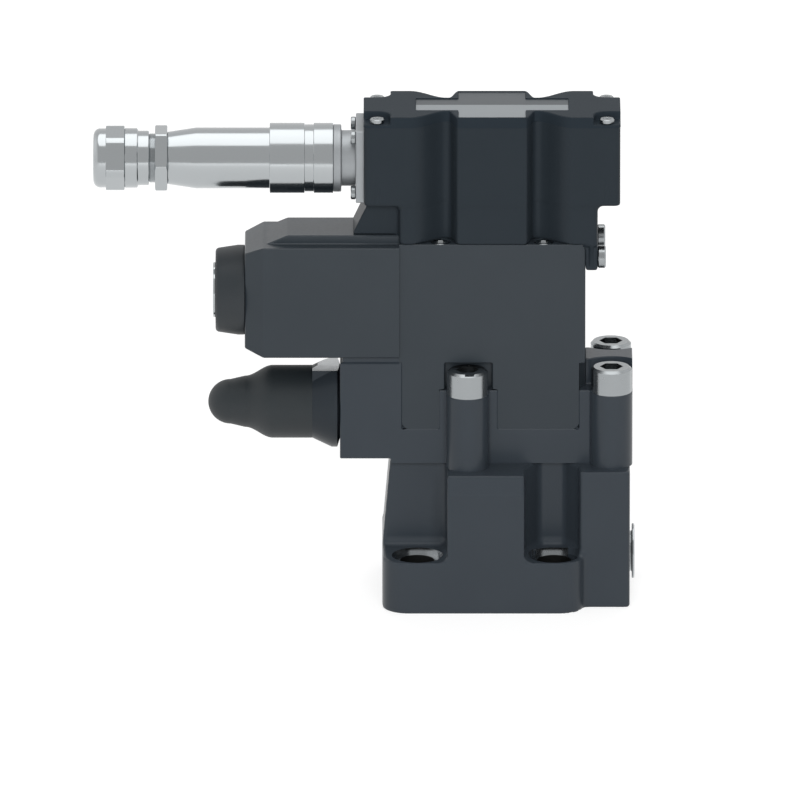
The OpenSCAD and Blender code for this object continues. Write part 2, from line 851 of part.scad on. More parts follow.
module solenoid_rib() {
    top = solenoid_low + solenoid_h;
    ramp = [solenoid_left + rib_ramp[0], solenoid_left + rib_ramp[1]];
    rotate([90, 0, 0]) linear_extrude(rib_depth, center = true)
        polygon([[ramp[0], top - past], [ramp[0], top], [ramp[1], top + rib_h],
            [-pilot_left, top + rib_h], [-pilot_left, top - past]]);
}

module solenoid_housing() {
    color(casting) difference() {
        union() {
            solenoid_shell();
            solenoid_rib();
        }
        bar_x([coil_left, -pilot_left + past], coil_d, axis_z);
        bar_x([solenoid_left - past, coil_left + past], armature_tube_d + 2 * loose, axis_z);
    }
}

module solenoid_end_cap() {
    rim = 0.8;
    taper = 1.2;
    step = 2.7;
    pin_room = 1;
    color(cap_grey) difference() {
        turned_x([
            [0, cap_left], [cap_d / 2 - taper - rim, cap_left], [cap_d / 2 - taper, cap_left + rim],
            [cap_d / 2, solenoid_left - step], [cap_d / 2, solenoid_left], [0, solenoid_left]
        ], axis_z);
        bar_x([tube_left - loose, solenoid_left + past], armature_tube_d + 2 * running, axis_z);
        bar_x([cap_left - past, solenoid_left], pin_d + pin_room, axis_z, fn = small_smooth);
    }
}

cap_plug_t = 1;
pin_recess = 0.3;
pin_stop_t = 1.9;

module cap_plug() {
    color(steel) difference() {
        bar_x([cap_left - cap_plug_t, cap_left], plug_d, axis_z);
        bar_x([cap_left - cap_plug_t - past, cap_left + past], pin_d + 4 * running, axis_z, fn = small_smooth);
    }
}

module override_pin() {
    right = pole_face - armature_gap - armature_l;
    stop = tube_left + tube_wall_end + loose;
    color(steel) {
        bar_x([cap_left - cap_plug_t + pin_recess, right], pin_d, axis_z, fn = small_smooth);
        bar_x([stop, stop + pin_stop_t], 1.8 * pin_d, axis_z, fn = small_smooth);
    }
}

// One wave as points [distance from the housing's middle, half depth there]: steep
// beside the middle lobe, level at the screw and long towards the end
wave_lead = 3.6;
wave_x = foot_x - wave_lead;
wave_foot = [0.35, 0.35];
wave_flank = [2.5, 15];
wave_corner = 1.8;

function wave_points(edge) = let (
    inner = wave_x - wave_foot[0] - wave_flank[0],
    foot = [wave_x - wave_foot[0], wave_x + wave_foot[1]],
    outer = foot[1] + wave_flank[1],
    steps = 8
) concat(
    [[inner, edge + past], [inner, edge]],
    [for (i = [1 : steps - 1]) let (t = i / steps)
        [inner + t * wave_flank[0], (edge + waist) / 2 + (edge - waist) / 2 * cos(180 * t)]],
    [[foot[0], waist]],
    [for (i = [0 : steps]) let (t = i / steps)
        [foot[1] + t * wave_flank[1], (edge + waist) / 2 - (edge - waist) / 2 * cos(180 * t)]],
    [[outer, edge + past]]
);

// Plan of the electronics housing, with two waves in each long side. The ends
// are distances left and right of the housing's middle.
module wavy_plan(ends, depth, inset) {
    offset(delta = -inset) difference() {
        translate([(ends[1] - ends[0]) / 2, 0]) round_rect(ends[0] + ends[1], depth, wave_corner);
        for (x = [-1, 1], y = [-1, 1]) scale_x(x) scale_y(y) polygon(wave_points(depth / 2));
    }
}

// Mirror image across the plane Y = 0 for side -1
module scale_y(side) {
    if (side < 0) mirror([0, 1, 0]) children();
    else children();
}

module wavy_solid(ends, depth, inset, z) {
    translate([box_x, 0, z[0]]) linear_extrude(z[1] - z[0]) wavy_plan(ends, depth, inset);
}

box_ends = [box_l / 2, box_l / 2];
neck_ends = [pilot_left + box_x, pilot_right + lip_t - box_x];
neck_depth = pilot_depth;
floor_t = 2.5;
corner_boss_d = 9;
lid_screw_l = 10;
lid_screw_spare = 2;

// Plan of the housing's inside, clear of the bosses for the lid screws
module cavity_plan(inset) {
    offset(delta = -inset) difference() {
        translate([box_x, 0]) wavy_plan(box_ends, box_depth, box_wall);
        at_lid_screws() circle(d = corner_boss_d, $fn = 24);
    }
}

module housing_cavity() {
    wavy_solid(neck_ends, neck_depth, box_wall, [pilot_top + floor_t, box_z + box_wall + past]);
    translate([0, 0, box_z + box_wall]) linear_extrude(box_h - box_wall + past) cavity_plan(0);
}

// Foot of the housing on top of the solenoid's rib
gusset_depth = 24;

module housing_gusset() {
    low = solenoid_low + solenoid_h + rib_h;
    right = past - pilot_left;
    lean = 4.8;
    shift = 0.6;
    rotate([90, 0, 0]) linear_extrude(gusset_depth, center = true)
        polygon([[box_left, box_z], [box_left + shift, box_z + past], [right, box_z + past],
            [right, low], [box_left - lean, low]]);
}

module housing_feet() {
    front_and_back() left_and_right() {
        translate([foot_x, -foot_screw_y, foot_low]) cylinder(d = foot_d, h = foot_t, $fn = small_smooth);
        block([foot_x - foot_d / 2, foot_x + foot_d / 2], [-foot_screw_y, -foot_root], [foot_low, foot_low + foot_t]);
        block([foot_x - foot_d / 2, foot_x + foot_d / 2], [-foot_root - foot_rib, -foot_root], [foot_low, pilot_top]);
    }
}

module electronics_housing() {
    color(box_grey) difference() {
        union() {
            wavy_solid(box_ends, box_depth, 0, [box_z, lid_z]);
            wavy_solid(neck_ends, neck_depth, 0, [pilot_top, box_z]);
            housing_gusset();
            housing_feet();
            slab([pilot_right, pilot_right + lip_t], lip_depth, [pilot_top - lip_h, pilot_top]);
        }
        housing_cavity();
        at_housing_screws() {
            bar_z([foot_low - past, pilot_top], foot_screw_d + 2 * loose);
            bar_z([foot_low + foot_t, pilot_top + loose], foot_head_d + 2 * loose);
        }
        at_side_screws() bar_z([-lip_t - past, past], side_screw_d + 2 * loose);
        at_lid_screws() bar_z([lid_z - lid_screw_l - lid_screw_spare, lid_z + past], lid_screw_d + 2 * loose);
        bar_x([box_left - past, box_left + box_wall + past], entry_bore_d + 2 * running, entry_z);
        at_flange_screws() bar_z([-flange_screw_l - past, 0], flange_screw_d + 2 * loose);
    }
}

// Corner pads of the lid lie lower, so that the screws stand in them
module lid_corners() {
    at_lid_screws() {
        z = [lid_z + lid_pad_h, lid_top + past];
        bar_z(z, 2 * lid_pad_r);
        block([0, 2 * lid_pad_r], [-2 * lid_pad_r, lid_pad_r], z);
        block([-lid_pad_r, 2 * lid_pad_r], [-2 * lid_pad_r, 0], z);
    }
}

// The lid stands out past the housing by this much
lid_lip = 0.4;
lid_rim_h = 2;
seal_w = 2.1;
seal_h = 1.4;

module housing_lid() {
    color(box_grey) difference() {
        union() {
            wavy_solid([box_l / 2 + lid_lip, box_l / 2 + lid_lip], box_depth + 2 * lid_lip, 0, [lid_z, lid_top]);
            translate([0, 0, lid_z - lid_rim_h]) linear_extrude(lid_rim_h + past) cavity_plan(seal_w + 2 * loose);
        }
        lid_corners();
        at_lid_screws() bar_z([lid_z - lid_rim_h - past, lid_top], lid_screw_d + 2 * loose);
    }
}

module lid_seal() {
    color(rubber) translate([0, 0, lid_z - seal_h]) linear_extrude(seal_h) difference() {
        cavity_plan(loose);
        cavity_plan(loose + seal_w);
    }
}

lid_head_d = 5.6;
lid_head_h = 1.8;

module lid_screws() {
    color(steel) translate([0, 0, lid_z + lid_pad_h]) at_lid_screws()
        socket_screw(lid_head_d, lid_head_h, lid_screw_d, lid_screw_l, lid_head_d / 2.2, lid_head_h / 2);
}

// Plate on the lid, with a low ridge along its middle
plate_x = [-29.9, 30];
plate_inner = 15;
plate_edge_t = 0.3;
plate_ridge_t = 0.9;

module nameplate() {
    margin = 0.6;
    lobe = wave_x - wave_foot[0] - wave_flank[0] - margin;
    color("#9da5a9") translate([box_x, 0, lid_top]) intersection() {
        linear_extrude(plate_ridge_t + past) {
            translate([plate_x[0], -plate_inner / 2]) square([plate_x[1] - plate_x[0], plate_inner]);
            round_rect(2 * lobe, box_depth - 2 * margin, wave_corner);
        }
        rotate([90, 0, 90]) linear_extrude(box_l, center = true)
            polygon([[-box_depth / 2, 0], [-box_depth / 2, plate_edge_t], [0, plate_ridge_t],
                [box_depth / 2, plate_edge_t], [box_depth / 2, 0]]);
    }
}

// Upright circuit board with its lower part in the neck
board_t = 1.6;
board_gap = 1;
board_side = 4;
board_top_gap = 5;
board_y = [waist - box_wall - 2 * board_t - board_gap, waist - box_wall - board_t - board_gap];
board_end = box_l / 2 - box_wall - board_side;
board_z = [box_z + box_wall + board_gap, lid_z - board_top_gap];
board_tail = [neck_ends[0] - box_wall - board_side, neck_ends[1] - box_wall - board_side];

module circuit_board() {
    color("#1f5c3a") {
        block([box_x - board_end, box_x + board_end], board_y, board_z);
        block([box_x - board_tail[0], box_x + board_tail[1]], board_y, [pilot_top + floor_t + board_gap, board_z[0]]);
    }
}

// Capacitors, drivers and a terminal row on the front of the board
terminal = [4, 6, 5];
terminal_step = 5;
terminal_drop = 8;
capacitor_d = 8;
capacitor_at = [31, 8];
driver = [8, 2, 8];
driver_at = [24, 10];
processor = [12, 3, 12];

module board_components() {
    front = board_y[0];
    color("#2b2d30") {
        for (i = [-1.5 : 1.5])
            translate([box_x + i * terminal_step - terminal[0] / 2, front - terminal[1], board_z[1] - terminal_drop])
                cube(terminal);
        for (side = [-1, 1]) {
            translate([box_x + side * capacitor_at[0], front, board_z[0] + capacitor_at[1]]) rotate([90, 0, 0])
                cylinder(d = capacitor_d, h = capacitor_d, $fn = small_smooth);
            translate([box_x + side * driver_at[0] - driver[0] / 2, front - driver[1], board_z[0] - driver_at[1]])
                cube(driver);
        }
        translate([box_x - processor[0] / 2, front - processor[1], board_z[0] - processor[2] / 2]) cube(processor);
    }
}

// Slotted rails at both ends of the board
rail_w = 5;
rail_lip = 2;

module board_rails() {
    color("#2b2d30") left_and_right() difference() {
        x = [board_end - rail_w + board_side, board_end + board_side];
        block(x, [board_y[0] - rail_lip, board_y[1] + rail_lip], [box_z + box_wall, board_z[1] + rail_lip]);
        block([x[0] - past, board_end], board_y, [board_z[0], board_z[1] + rail_lip + past]);
    }
}

module housing_screws() {
    color(steel) translate([0, 0, foot_low + foot_t]) at_housing_screws()
        socket_screw(foot_head_d, foot_head_h, foot_screw_d, foot_screw_l, foot_head_d / 2, foot_head_h / 1.5);
}

side_head_d = 9;
side_head_h = 3.2;
screw_spare = 2;

module side_screws() {
    color(steel) at_side_screws()
        socket_screw(side_head_d, side_head_h, side_screw_d, side_screw_l + lip_t - screw_spare,
            side_head_d / 2.4, side_head_h / 2);
}

// Cable entry
entry_bore_d = tube_bore_d + 5;
entry_spigot_wall = 2.5;
neck_root_d = tube_d - 2.1;
neck_ring_d = tube_d + 2.5;
neck_ring_l = 3.2;

module entry_flange() {
    step = neck_left + neck_ring_l;
    color(steel) difference() {
        union() {
            slab([plate_left, box_left], plate_w, [entry_z - plate_h / 2, entry_z + plate_h / 2]);
            bar_x([step, plate_left], neck_root_d, entry_z);
            bar_x([neck_left, step], neck_ring_d, entry_z);
            bar_x([box_left, box_left + box_wall], entry_bore_d, entry_z);
        }
        bar_x([neck_left - past, neck_left + spigot_l], tube_bore_d + 2 * entry_spigot_wall + 2 * running, entry_z);
        bar_x([neck_left - past, box_left + box_wall + past], tube_bore_d, entry_z);
        at_flange_screws() bar_z([-plate_t - past, past], flange_screw_d + 2 * loose);
    }
}

flange_head_h = 2;

module flange_screws() {
    color(steel) at_flange_screws() socket_screw(1.8 * flange_screw_d, flange_head_h,
        flange_screw_d, flange_screw_l, 0.7 * flange_screw_d, flange_head_h / 2);
}

collar_rise = 3.7;
groove_at = [11.2, 7.6];
tube_collar_l = 24.9;
tube_thread_l = 7.3;
taper_at = [18.5, 7.7];
taper_d = tube_d - 3.3;

module entry_tube() {
    collar_r = (tube_d + collar_rise) / 2;
    groove = [neck_left - groove_at[0], neck_left - groove_at[1]];
    collar_left = neck_left - tube_collar_l;
    taper = [tube_end + taper_at[0], tube_end + taper_at[1]];
    thread_right = tube_end + tube_thread_l;
    bore = tube_bore_d / 2;
    color(steel) turned_x([
        [bore, neck_left + spigot_l - loose], [bore + entry_spigot_wall, neck_left + spigot_l - loose],
        [bore + entry_spigot_wall, neck_left], [collar_r, neck_left],
        [collar_r, groove[1]], [neck_ring_d / 2, groove[1]], [neck_ring_d / 2, groove[0]], [collar_r, groove[0]],
        [collar_r, collar_left], [tube_d / 2, collar_left], [tube_d / 2, taper[0]],
        [taper_d / 2, taper[1]], [taper_d / 2, thread_right], [thread_d / 2, thread_right],
        [thread_d / 2, tube_end], [bore, tube_end]
    ], entry_z);
}

module entry_lock_nut() {
    right = tube_end + tube_thread_l - loose;
    x = [right - lock_nut_t, right];
    color(steel) difference() {
        hex_x(x, gland_flats, entry_z);
        bar_x([x[0] - past, x[1] + past], thread_d + 2 * running, entry_z);
    }
}

gland_wall = 2;
gland_core_d = tube_bore_d + 2 * gland_wall;
gland_end = 1;

module gland_body() {
    collar_d = gland_flats + 0.3;
    step_d = collar_d - gland_wall;
    color(steel) difference() {
        union() {
            bar_x([gland_step_x, tube_end], step_d, entry_z);
            bar_x([gland_collar_x, gland_step_x], collar_d, entry_z);
            bar_x([gland_hex_x + gland_end, gland_collar_x], gland_core_d, entry_z);
        }
        bar_x([gland_hex_x, tube_end + past], tube_bore_d, entry_z);
    }
}

module gland_seal() {
    color(rubber) difference() {
        bar_x([gland_hex_x + gland_end, gland_step_x], tube_bore_d - 2 * running, entry_z);
        bar_x([gland_hex_x, gland_step_x + past], gland_bore_d, entry_z);
    }
}

// The gland nut's flats look towards the front, tipped up by this angle
nut_tip = 17;

module gland_nut() {
    dome_d = gland_flats + 0.1;
    r = 2.8;
    round_steps = 6;
    color(steel) difference() {
        union() {
            hex_x([gland_hex_x, gland_collar_x], gland_flats, entry_z, -nut_tip);
            turned_x(concat(
                [[0, gland_hex_x], [dome_d / 2, gland_hex_x]],
                [for (i = [0 : round_steps]) let (a = i * 90 / round_steps)
                    [dome_d / 2 - r + r * cos(a), gland_tip_x + r - r * sin(a)]],
                [[0, gland_tip_x]]
            ), entry_z);
        }
        bar_x([gland_hex_x + gland_end - loose, gland_collar_x + past], gland_core_d + 2 * running, entry_z);
        bar_x([gland_tip_x - past, gland_collar_x], tube_bore_d - gland_end, entry_z);
    }
}

// Pressure limiter
limiter_seat_d = 12;

module limiter_seat() {
    right = block_face + limiter_block_w;
    color(steel) difference() {
        bar_x([limiter_seat_x, right], limiter_seat_d, limiter_z);
        bar_x([limiter_seat_x - past, right + past], orifice_d, limiter_z, fn = small_smooth);
    }
}

// Poppet whose cone closes the limiter's seat
limiter_contact_x = limiter_seat_x - needle_gap;
limiter_cone_d = 7;
limiter_cone_l = 7;
disc_t = 2;
disc_r = 6.5;
limiter_flange_x = [limiter_seat_x - limiter_cone_l - disc_t, limiter_seat_x - limiter_cone_l];
spring_guide_l = 3;
spring_guide_d = 6.5;
limiter_wire = 2;

module limiter_poppet() {
    base = limiter_contact_x - (limiter_cone_d - orifice_d) / 2 / needle_slope;
    tip = limiter_contact_x + (orifice_d / 2 - needle_tip_r) / needle_slope;
    guide_r = spring_guide_d / 2;
    color(steel) turned_x([
        [0, limiter_flange_x[0] - spring_guide_l], [guide_r, limiter_flange_x[0] - spring_guide_l],
        [guide_r, limiter_flange_x[0]], [disc_r, limiter_flange_x[0]],
        [disc_r, limiter_flange_x[1]], [limiter_cone_d / 2, limiter_flange_x[1]],
        [limiter_cone_d / 2, base], [needle_tip_r, tip], [0, tip]
    ], limiter_z);
}

module limiter_spring() {
    left = screw_tip + disc_t;
    color(steel) translate([left, 0, limiter_z]) rotate([0, 90, 0])
        spring(chamber_d - 1.5 * limiter_wire, limiter_wire, limiter_flange_x[0] - left, 6.5);
}

module limiter_spring_seat() {
    face = screw_tip + disc_t;
    color(steel) {
        bar_x([screw_tip, face], chamber_d - 2 * running, limiter_z);
        bar_x([face, face + spring_guide_l], spring_guide_d, limiter_z, fn = small_smooth);
    }
}

module adjusting_screw() {
    color(steel) difference() {
        bar_x([screw_end, screw_tip], adjuster_d, limiter_z);
        translate([screw_end - past, 0, limiter_z]) rotate([0, 90, 0])
            cylinder(d = adjuster_d / 2 / cos(30), h = adjuster_d / 2 + past, $fn = 6);
    }
}

module adjuster_lock_nut() {
    x = [collar_left - nut_l, collar_left];
    color(steel) difference() {
        hex_x(x, 1.625 * adjuster_d, limiter_z);
        bar_x([x[0] - past, x[1] + past], adjuster_d + 2 * running, limiter_z);
    }
}

// Collar that screws into the cover and carries the adjusting screw. A flat for a
// wrench is milled along its top.
wrench_flat_h = 15.3;
wrench_flat_w = 18.6;
wrench_flat_end = 7.5;
cone_l = 7.6;
collar_edge = 1.1;

module wrench_flat() {
    x = [shoulder_x, block_face - collar_edge];
    translate([0, 0, limiter_z]) linear_extrude(wrench_flat_h)
        polygon([[x[0], -wrench_flat_w / 2], [x[1], -wrench_flat_w / 2], [x[1], wrench_flat_w / 2],
            [x[0] + wrench_flat_end, wrench_flat_w / 2], [x[0], -wrench_flat_w / 2 + wrench_flat_end / 2]]);
}

module adjuster_collar() {
    color(cap_grey) difference() {
        union() {
            turned_x([
                [0, collar_left], [spigot_d / 2, collar_left], [spigot_d / 2, shoulder_x], [boot_d / 2, shoulder_x],
                [flare_d / 2, shoulder_x + cone_l], [flare_d / 2, block_face - collar_edge],
                [boot_d / 2, block_face], [cartridge_d / 2 - running, block_face],
                [cartridge_d / 2 - running, cartridge_right], [0, cartridge_right]
            ], limiter_z);
            wrench_flat();
        }
        bar_x([chamber_left, cartridge_right + past], chamber_d, limiter_z);
        bar_x([collar_left - past, chamber_left + past], adjuster_d + 2 * running, limiter_z);
        block([shoulder_x - past, block_face + past], [-flare_d, flare_d],
            [limiter_z + wrench_flat_h, limiter_z + flare_d]);
    }
}

// Boot: a barrel, a waist and a round tip, open at the collar
boot_tip_r = 8.8;
boot_barrel_l = 15.5;
boot_waist_l = 11.1;
boot_tip_l = 14.4;
boot_barrel_x = shoulder_x - boot_barrel_l;
boot_waist_x = boot_barrel_x - boot_waist_l;
boot_tip_x = boot_waist_x - boot_tip_l;
boot_waist_d = 20.2;

// Points along the boot's waist, as half a cosine wave
function boot_waist(inset) = [
    for (i = [0 : 8]) let (t = i / 8, mean = (boot_waist_d + boot_d) / 4, swing = (boot_d - boot_waist_d) / 4)
        [mean - swing * cos(180 * t) - inset, boot_waist_x + t * (boot_barrel_x - boot_waist_x)]
];

// Points round the boot's tip, from the axis outwards
function boot_dome(inset) = [
    for (i = [0 : 8]) let (a = 90 - i * 90 / 8, r = boot_tip_r - inset)
        [r * cos(a), boot_tip_x + boot_tip_r - r * sin(a)]
];

function boot_profile(inset, end) = concat(
    boot_dome(inset), boot_waist(inset), [[boot_d / 2 - inset, end], [0, end]]
);

module limiter_boot() {
    mouth = shoulder_x - boot_gap;
    grip_x = [collar_left - boot_gap, mouth];
    color(rubber) difference() {
        turned_x(boot_profile(0, mouth), limiter_z);
        turned_x(boot_profile(boot_wall, grip_x[0]), limiter_z);
        bar_x([grip_x[0] - past, mouth + past], spigot_d + 2 * boot_gap, limiter_z);
    }
}

main_body();
cover_body();
pilot_block();
cover_bolts();
gallery_plug();
port_seal_p();
port_seal_t();
port_seal_x();
cover_seal();
sleeve_seal();
main_sleeve();
main_poppet();
main_spring();
pilot_orifice();
pilot_seat();
pilot_needle();
push_pin();
pole_piece();
armature();
armature_spring();
armature_tube();
coil();
solenoid_housing();
solenoid_end_cap();
cap_plug();
override_pin();
electronics_housing();
housing_lid();
lid_seal();
lid_screws();
nameplate();
circuit_board();
board_components();
board_rails();
housing_screws();
side_screws();
entry_flange();
flange_screws();
entry_tube();
entry_lock_nut();
gland_body();
gland_seal();
gland_nut();
limiter_seat();
limiter_poppet();
limiter_spring();
limiter_spring_seat();
adjusting_screw();
adjuster_lock_nut();
adjuster_collar();
limiter_boot();
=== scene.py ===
import collections
import json
import math

import bmesh
import bpy
from mathutils import Matrix, Vector


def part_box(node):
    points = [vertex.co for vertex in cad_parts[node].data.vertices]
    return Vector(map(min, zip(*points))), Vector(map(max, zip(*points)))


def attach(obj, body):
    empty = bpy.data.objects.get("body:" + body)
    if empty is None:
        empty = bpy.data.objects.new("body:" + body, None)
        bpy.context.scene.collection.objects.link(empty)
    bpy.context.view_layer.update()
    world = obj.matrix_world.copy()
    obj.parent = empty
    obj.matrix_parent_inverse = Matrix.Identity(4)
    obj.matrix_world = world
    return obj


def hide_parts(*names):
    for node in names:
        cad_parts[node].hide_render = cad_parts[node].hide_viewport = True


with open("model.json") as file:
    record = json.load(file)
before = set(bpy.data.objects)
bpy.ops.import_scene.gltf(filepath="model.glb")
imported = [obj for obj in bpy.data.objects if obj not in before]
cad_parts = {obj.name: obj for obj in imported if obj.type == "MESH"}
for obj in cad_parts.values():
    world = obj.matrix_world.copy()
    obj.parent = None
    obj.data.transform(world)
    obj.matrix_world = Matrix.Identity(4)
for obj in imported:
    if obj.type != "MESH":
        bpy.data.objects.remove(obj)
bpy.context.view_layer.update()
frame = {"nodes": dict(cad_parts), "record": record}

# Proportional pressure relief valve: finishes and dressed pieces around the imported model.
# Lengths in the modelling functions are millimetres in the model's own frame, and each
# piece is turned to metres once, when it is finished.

MM = 0.001
ROOT = "valve_body"

# Grain in which the castings are modelled, coarser while trying things out
CASTING_VOXEL = 0.55
HOUSING_VOXEL = 0.5
LID_VOXEL = 0.35

# Sides of a round bar
ROUND = 96
# A face in millimetres, as the tests of face_bare_or_shaded see it
BareFace = collections.namedtuple("BareFace", "center normal")


def box_mm(node):
    """Lowest and highest corner of a CAD node, in millimetres."""
    low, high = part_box(node)
    return low / MM, high / MM


# Camera: level with the valve's long side, 17 degrees up, through a long lens

def add_camera():
    """The photograph's view: 800 pixels stand for 315 mm."""
    elevation = math.radians(17)
    distance = 10.5
    aim = Vector((-0.0337, 0, 0.0766))
    camera_data = bpy.data.cameras.new("camera")
    camera_data.lens = 1200
    camera_data.sensor_width = 36
    camera_data.clip_end = 40
    camera = bpy.data.objects.new("camera", camera_data)
    bpy.context.scene.collection.objects.link(camera)
    back = Vector((0, -math.cos(elevation), math.sin(elevation)))
    camera.location = aim + back * distance
    camera.rotation_euler = (-back).to_track_quat("-Z", "Y").to_euler()
    bpy.context.scene.camera = camera


# Materials

def linear(hex_colour):
    """An sRGB hex colour as linear RGBA."""
    values = [int(hex_colour[i:i + 2], 16) / 255 for i in (1, 3, 5)]
    return [v / 12.92 if v <= 0.04045 else ((v + 0.055) / 1.055) ** 2.4 for v in values] + [1]


def add_node(tree, kind, settings=None, **inputs):
    """Adds a node. Each input is a value or the output socket that feeds it."""
    new = tree.nodes.new(kind)
    for name, value in (settings or {}).items():
        setattr(new, name, value)
    for name, value in inputs.items():
        socket = new.inputs[int(name[1:])] if name[0] == "_" else new.inputs[name.replace("_", " ")]
        if isinstance(value, bpy.types.NodeSocket):
            tree.links.new(value, socket)
        else:
            socket.default_value = value
    return new


def new_finish(name):
    """An empty material with its shader and its object coordinates in millimetres."""
    finish = bpy.data.materials.new(name)
    finish.use_nodes = True
    tree = finish.node_tree
    place = add_node(tree, "ShaderNodeTexCoord").outputs["Object"]
    millimetres = add_node(tree, "ShaderNodeMapping", Vector=place, Scale=(1 / MM, 1 / MM, 1 / MM))
    return finish, tree, tree.nodes["Principled BSDF"], millimetres.outputs["Vector"]


def set_shader(shader, **values):
    """Sets the shader's own sockets, each to one value for the whole surface."""
    for name, value in values.items():
        shader.inputs[name.replace("_", " ")].default_value = value


def two_tones(tree, shader, factor, first, second):
    """Base colour that drifts between two tones."""
    ramp = add_node(tree, "ShaderNodeValToRGB", Fac=factor)
    ramp.color_ramp.elements[0].position = 0.3
    ramp.color_ramp.elements[0].color = linear(first)
    ramp.color_ramp.elements[1].position = 0.7
    ramp.color_ramp.elements[1].color = linear(second)
    tree.links.new(ramp.outputs["Color"], shader.inputs["Base Color"])


def vary_roughness(tree, shader, factor, low, high):
    """Roughness that drifts between two values."""
    spread = add_node(tree, "ShaderNodeMapRange", Value=factor, To_Min=low, To_Max=high)
    tree.links.new(spread.outputs["Result"], shader.inputs["Roughness"])


def raise_surface(tree, shader, height, depth_mm, strength=1.0):
    """Bump with its depth in millimetres."""
    bump = add_node(tree, "ShaderNodeBump", Height=height, Distance=depth_mm * MM, Strength=strength)
    tree.links.new(bump.outputs["Normal"], shader.inputs["Normal"])


def sprayed_enamel(name, first, second, grain_mm, grain_depth, rough, sheen=0.42):
    """Semi-matt enamel: a soft sheen, slight orange peel and the grain of the metal under
    it. The grain is drawn several times as coarse as it is, so that it shows."""
    finish, tree, shader, place = new_finish(name)
    cloud = add_node(tree, "ShaderNodeTexNoise", Vector=place, Scale=1 / 22, Detail=3.0)
    grain = add_node(tree, "ShaderNodeTexNoise", Vector=place, Scale=1 / grain_mm, Detail=4.0,
                     Roughness=0.6)
    two_tones(tree, shader, cloud.outputs["Fac"], first, second)
    vary_roughness(tree, shader, grain.outputs["Fac"], rough - 0.06, rough + 0.08)
    raise_surface(tree, shader, grain.outputs["Fac"], grain_depth)
    set_shader(shader, IOR=1.5, Specular_IOR_Level=sheen)
    return finish


def turned_steel(name, colour, rough, ring_mm, depth):
    """Stainless steel from a lathe: bright, with fine rings round the X axis."""
    finish, tree, shader, place = new_finish(name)
    along = add_node(tree, "ShaderNodeSeparateXYZ", Vector=place).outputs["X"]
    rings = add_node(tree, "ShaderNodeTexNoise", {"noise_dimensions": "1D"}, W=along,
                     Scale=1 / ring_mm, Detail=3.0)
    cloud = add_node(tree, "ShaderNodeTexNoise", Vector=place, Scale=1 / 9, Detail=2.0)
    vary_roughness(tree, shader, cloud.outputs["Fac"], rough - 0.05, rough + 0.07)
    raise_surface(tree, shader, rings.outputs["Fac"], depth)
    set_shader(shader, Base_Color=linear(colour), Metallic=1.0)
    return finish


def plated_steel(name, colour, rough, metallic=1.0):
    """Zinc-plated, ground or blasted steel: slightly cloudy, with a fine grain. Blasting
    leaves pits that scatter light, and a lower metallic stands for them."""
    finish, tree, shader, place = new_finish(name)
    cloud = add_node(tree, "ShaderNodeTexNoise", Vector=place, Scale=1 / 3, Detail=3.0)
    grain = add_node(tree, "ShaderNodeTexNoise", Vector=place, Scale=1 / 0.25, Detail=2.0)
    vary_roughness(tree, shader, cloud.outputs["Fac"], rough - 0.06, rough + 0.08)
    raise_surface(tree, shader, grain.outputs["Fac"], 0.0006)
    set_shader(shader, Base_Color=linear(colour), Metallic=metallic)
    return finish


def anodised_plate(name, first, second):
    """Anodised aluminium, brushed along X: a matt grey with faint streaks."""
    finish, tree, shader, place = new_finish(name)
    streaks = add_node(tree, "ShaderNodeMapping", Vector=place, Scale=(0.03, 4, 4))
    brushed = add_node(tree, "ShaderNodeTexNoise", Vector=streaks.outputs["Vector"], Scale=1.0,
                       Detail=4.0)
    two_tones(tree, shader, brushed.outputs["Fac"], first, second)
    vary_roughness(tree, shader, brushed.outputs["Fac"], 0.4, 0.5)
    raise_surface(tree, shader, brushed.outputs["Fac"], 0.001)
    set_shader(shader, Metallic=0.3)
    return finish


def moulded_rubber(name, first, second, rough, grain_mm=0.5, depth=0.012):
    """Moulded rubber or plastic: dull, with a fine even grain from the mould."""
    finish, tree, shader, place = new_finish(name)
    cloud = add_node(tree, "ShaderNodeTexNoise", Vector=place, Scale=1 / 14, Detail=3.0)
    grain = add_node(tree, "ShaderNodeTexNoise", Vector=place, Scale=1 / grain_mm, Detail=3.0)
    two_tones(tree, shader, cloud.outputs["Fac"], first, second)
    vary_roughness(tree, shader, grain.outputs["Fac"], rough - 0.05, rough + 0.07)
    raise_surface(tree, shader, grain.outputs["Fac"], depth)
    set_shader(shader, IOR=1.5)
    return finish


def turned_brass(name):
    """Free-cutting brass from a lathe: warm, fairly bright."""
    finish, tree, shader, place = new_finish(name)
    cloud = add_node(tree, "ShaderNodeTexNoise", Vector=place, Scale=1 / 2, Detail=3.0)
    two_tones(tree, shader, cloud.outputs["Fac"], "#b8923f", "#cfa956")
    vary_roughness(tree, shader, cloud.outputs["Fac"], 0.2, 0.35)
    set_shader(shader, Metallic=1.0)
    return finish


def varnished_winding(name):
    """Enamelled copper wire, wound in layers: glossy turns 0.6 mm apart round the X axis."""
    finish, tree, shader, place = new_finish(name)
    turns = add_node(tree, "ShaderNodeTexWave", {"bands_direction": "X"}, Vector=place, Scale=0.5,
                     Distortion=0.3)
    two_tones(tree, shader, turns.outputs["Fac"], "#6e3412", "#a85c28")
    raise_surface(tree, shader, turns.outputs["Fac"], 0.12)
    set_shader(shader, Metallic=0.6, Roughness=0.3)
    return finish


def lacquered_board(name):
    """Glass-fibre circuit board under green lacquer: a weave and fine tracks show through."""
    finish, tree, shader, place = new_finish(name)
    tracks = add_node(tree, "ShaderNodeTexVoronoi", {"distance": "MANHATTAN", "feature": "F1"},
                      Vector=place, Scale=1 / 3)
    two_tones(tree, shader, tracks.outputs["Distance"], "#14502c", "#23693c")
    raise_surface(tree, shader, tracks.outputs["Distance"], 0.02)
    set_shader(shader, Roughness=0.3, IOR=1.5)
    return finish


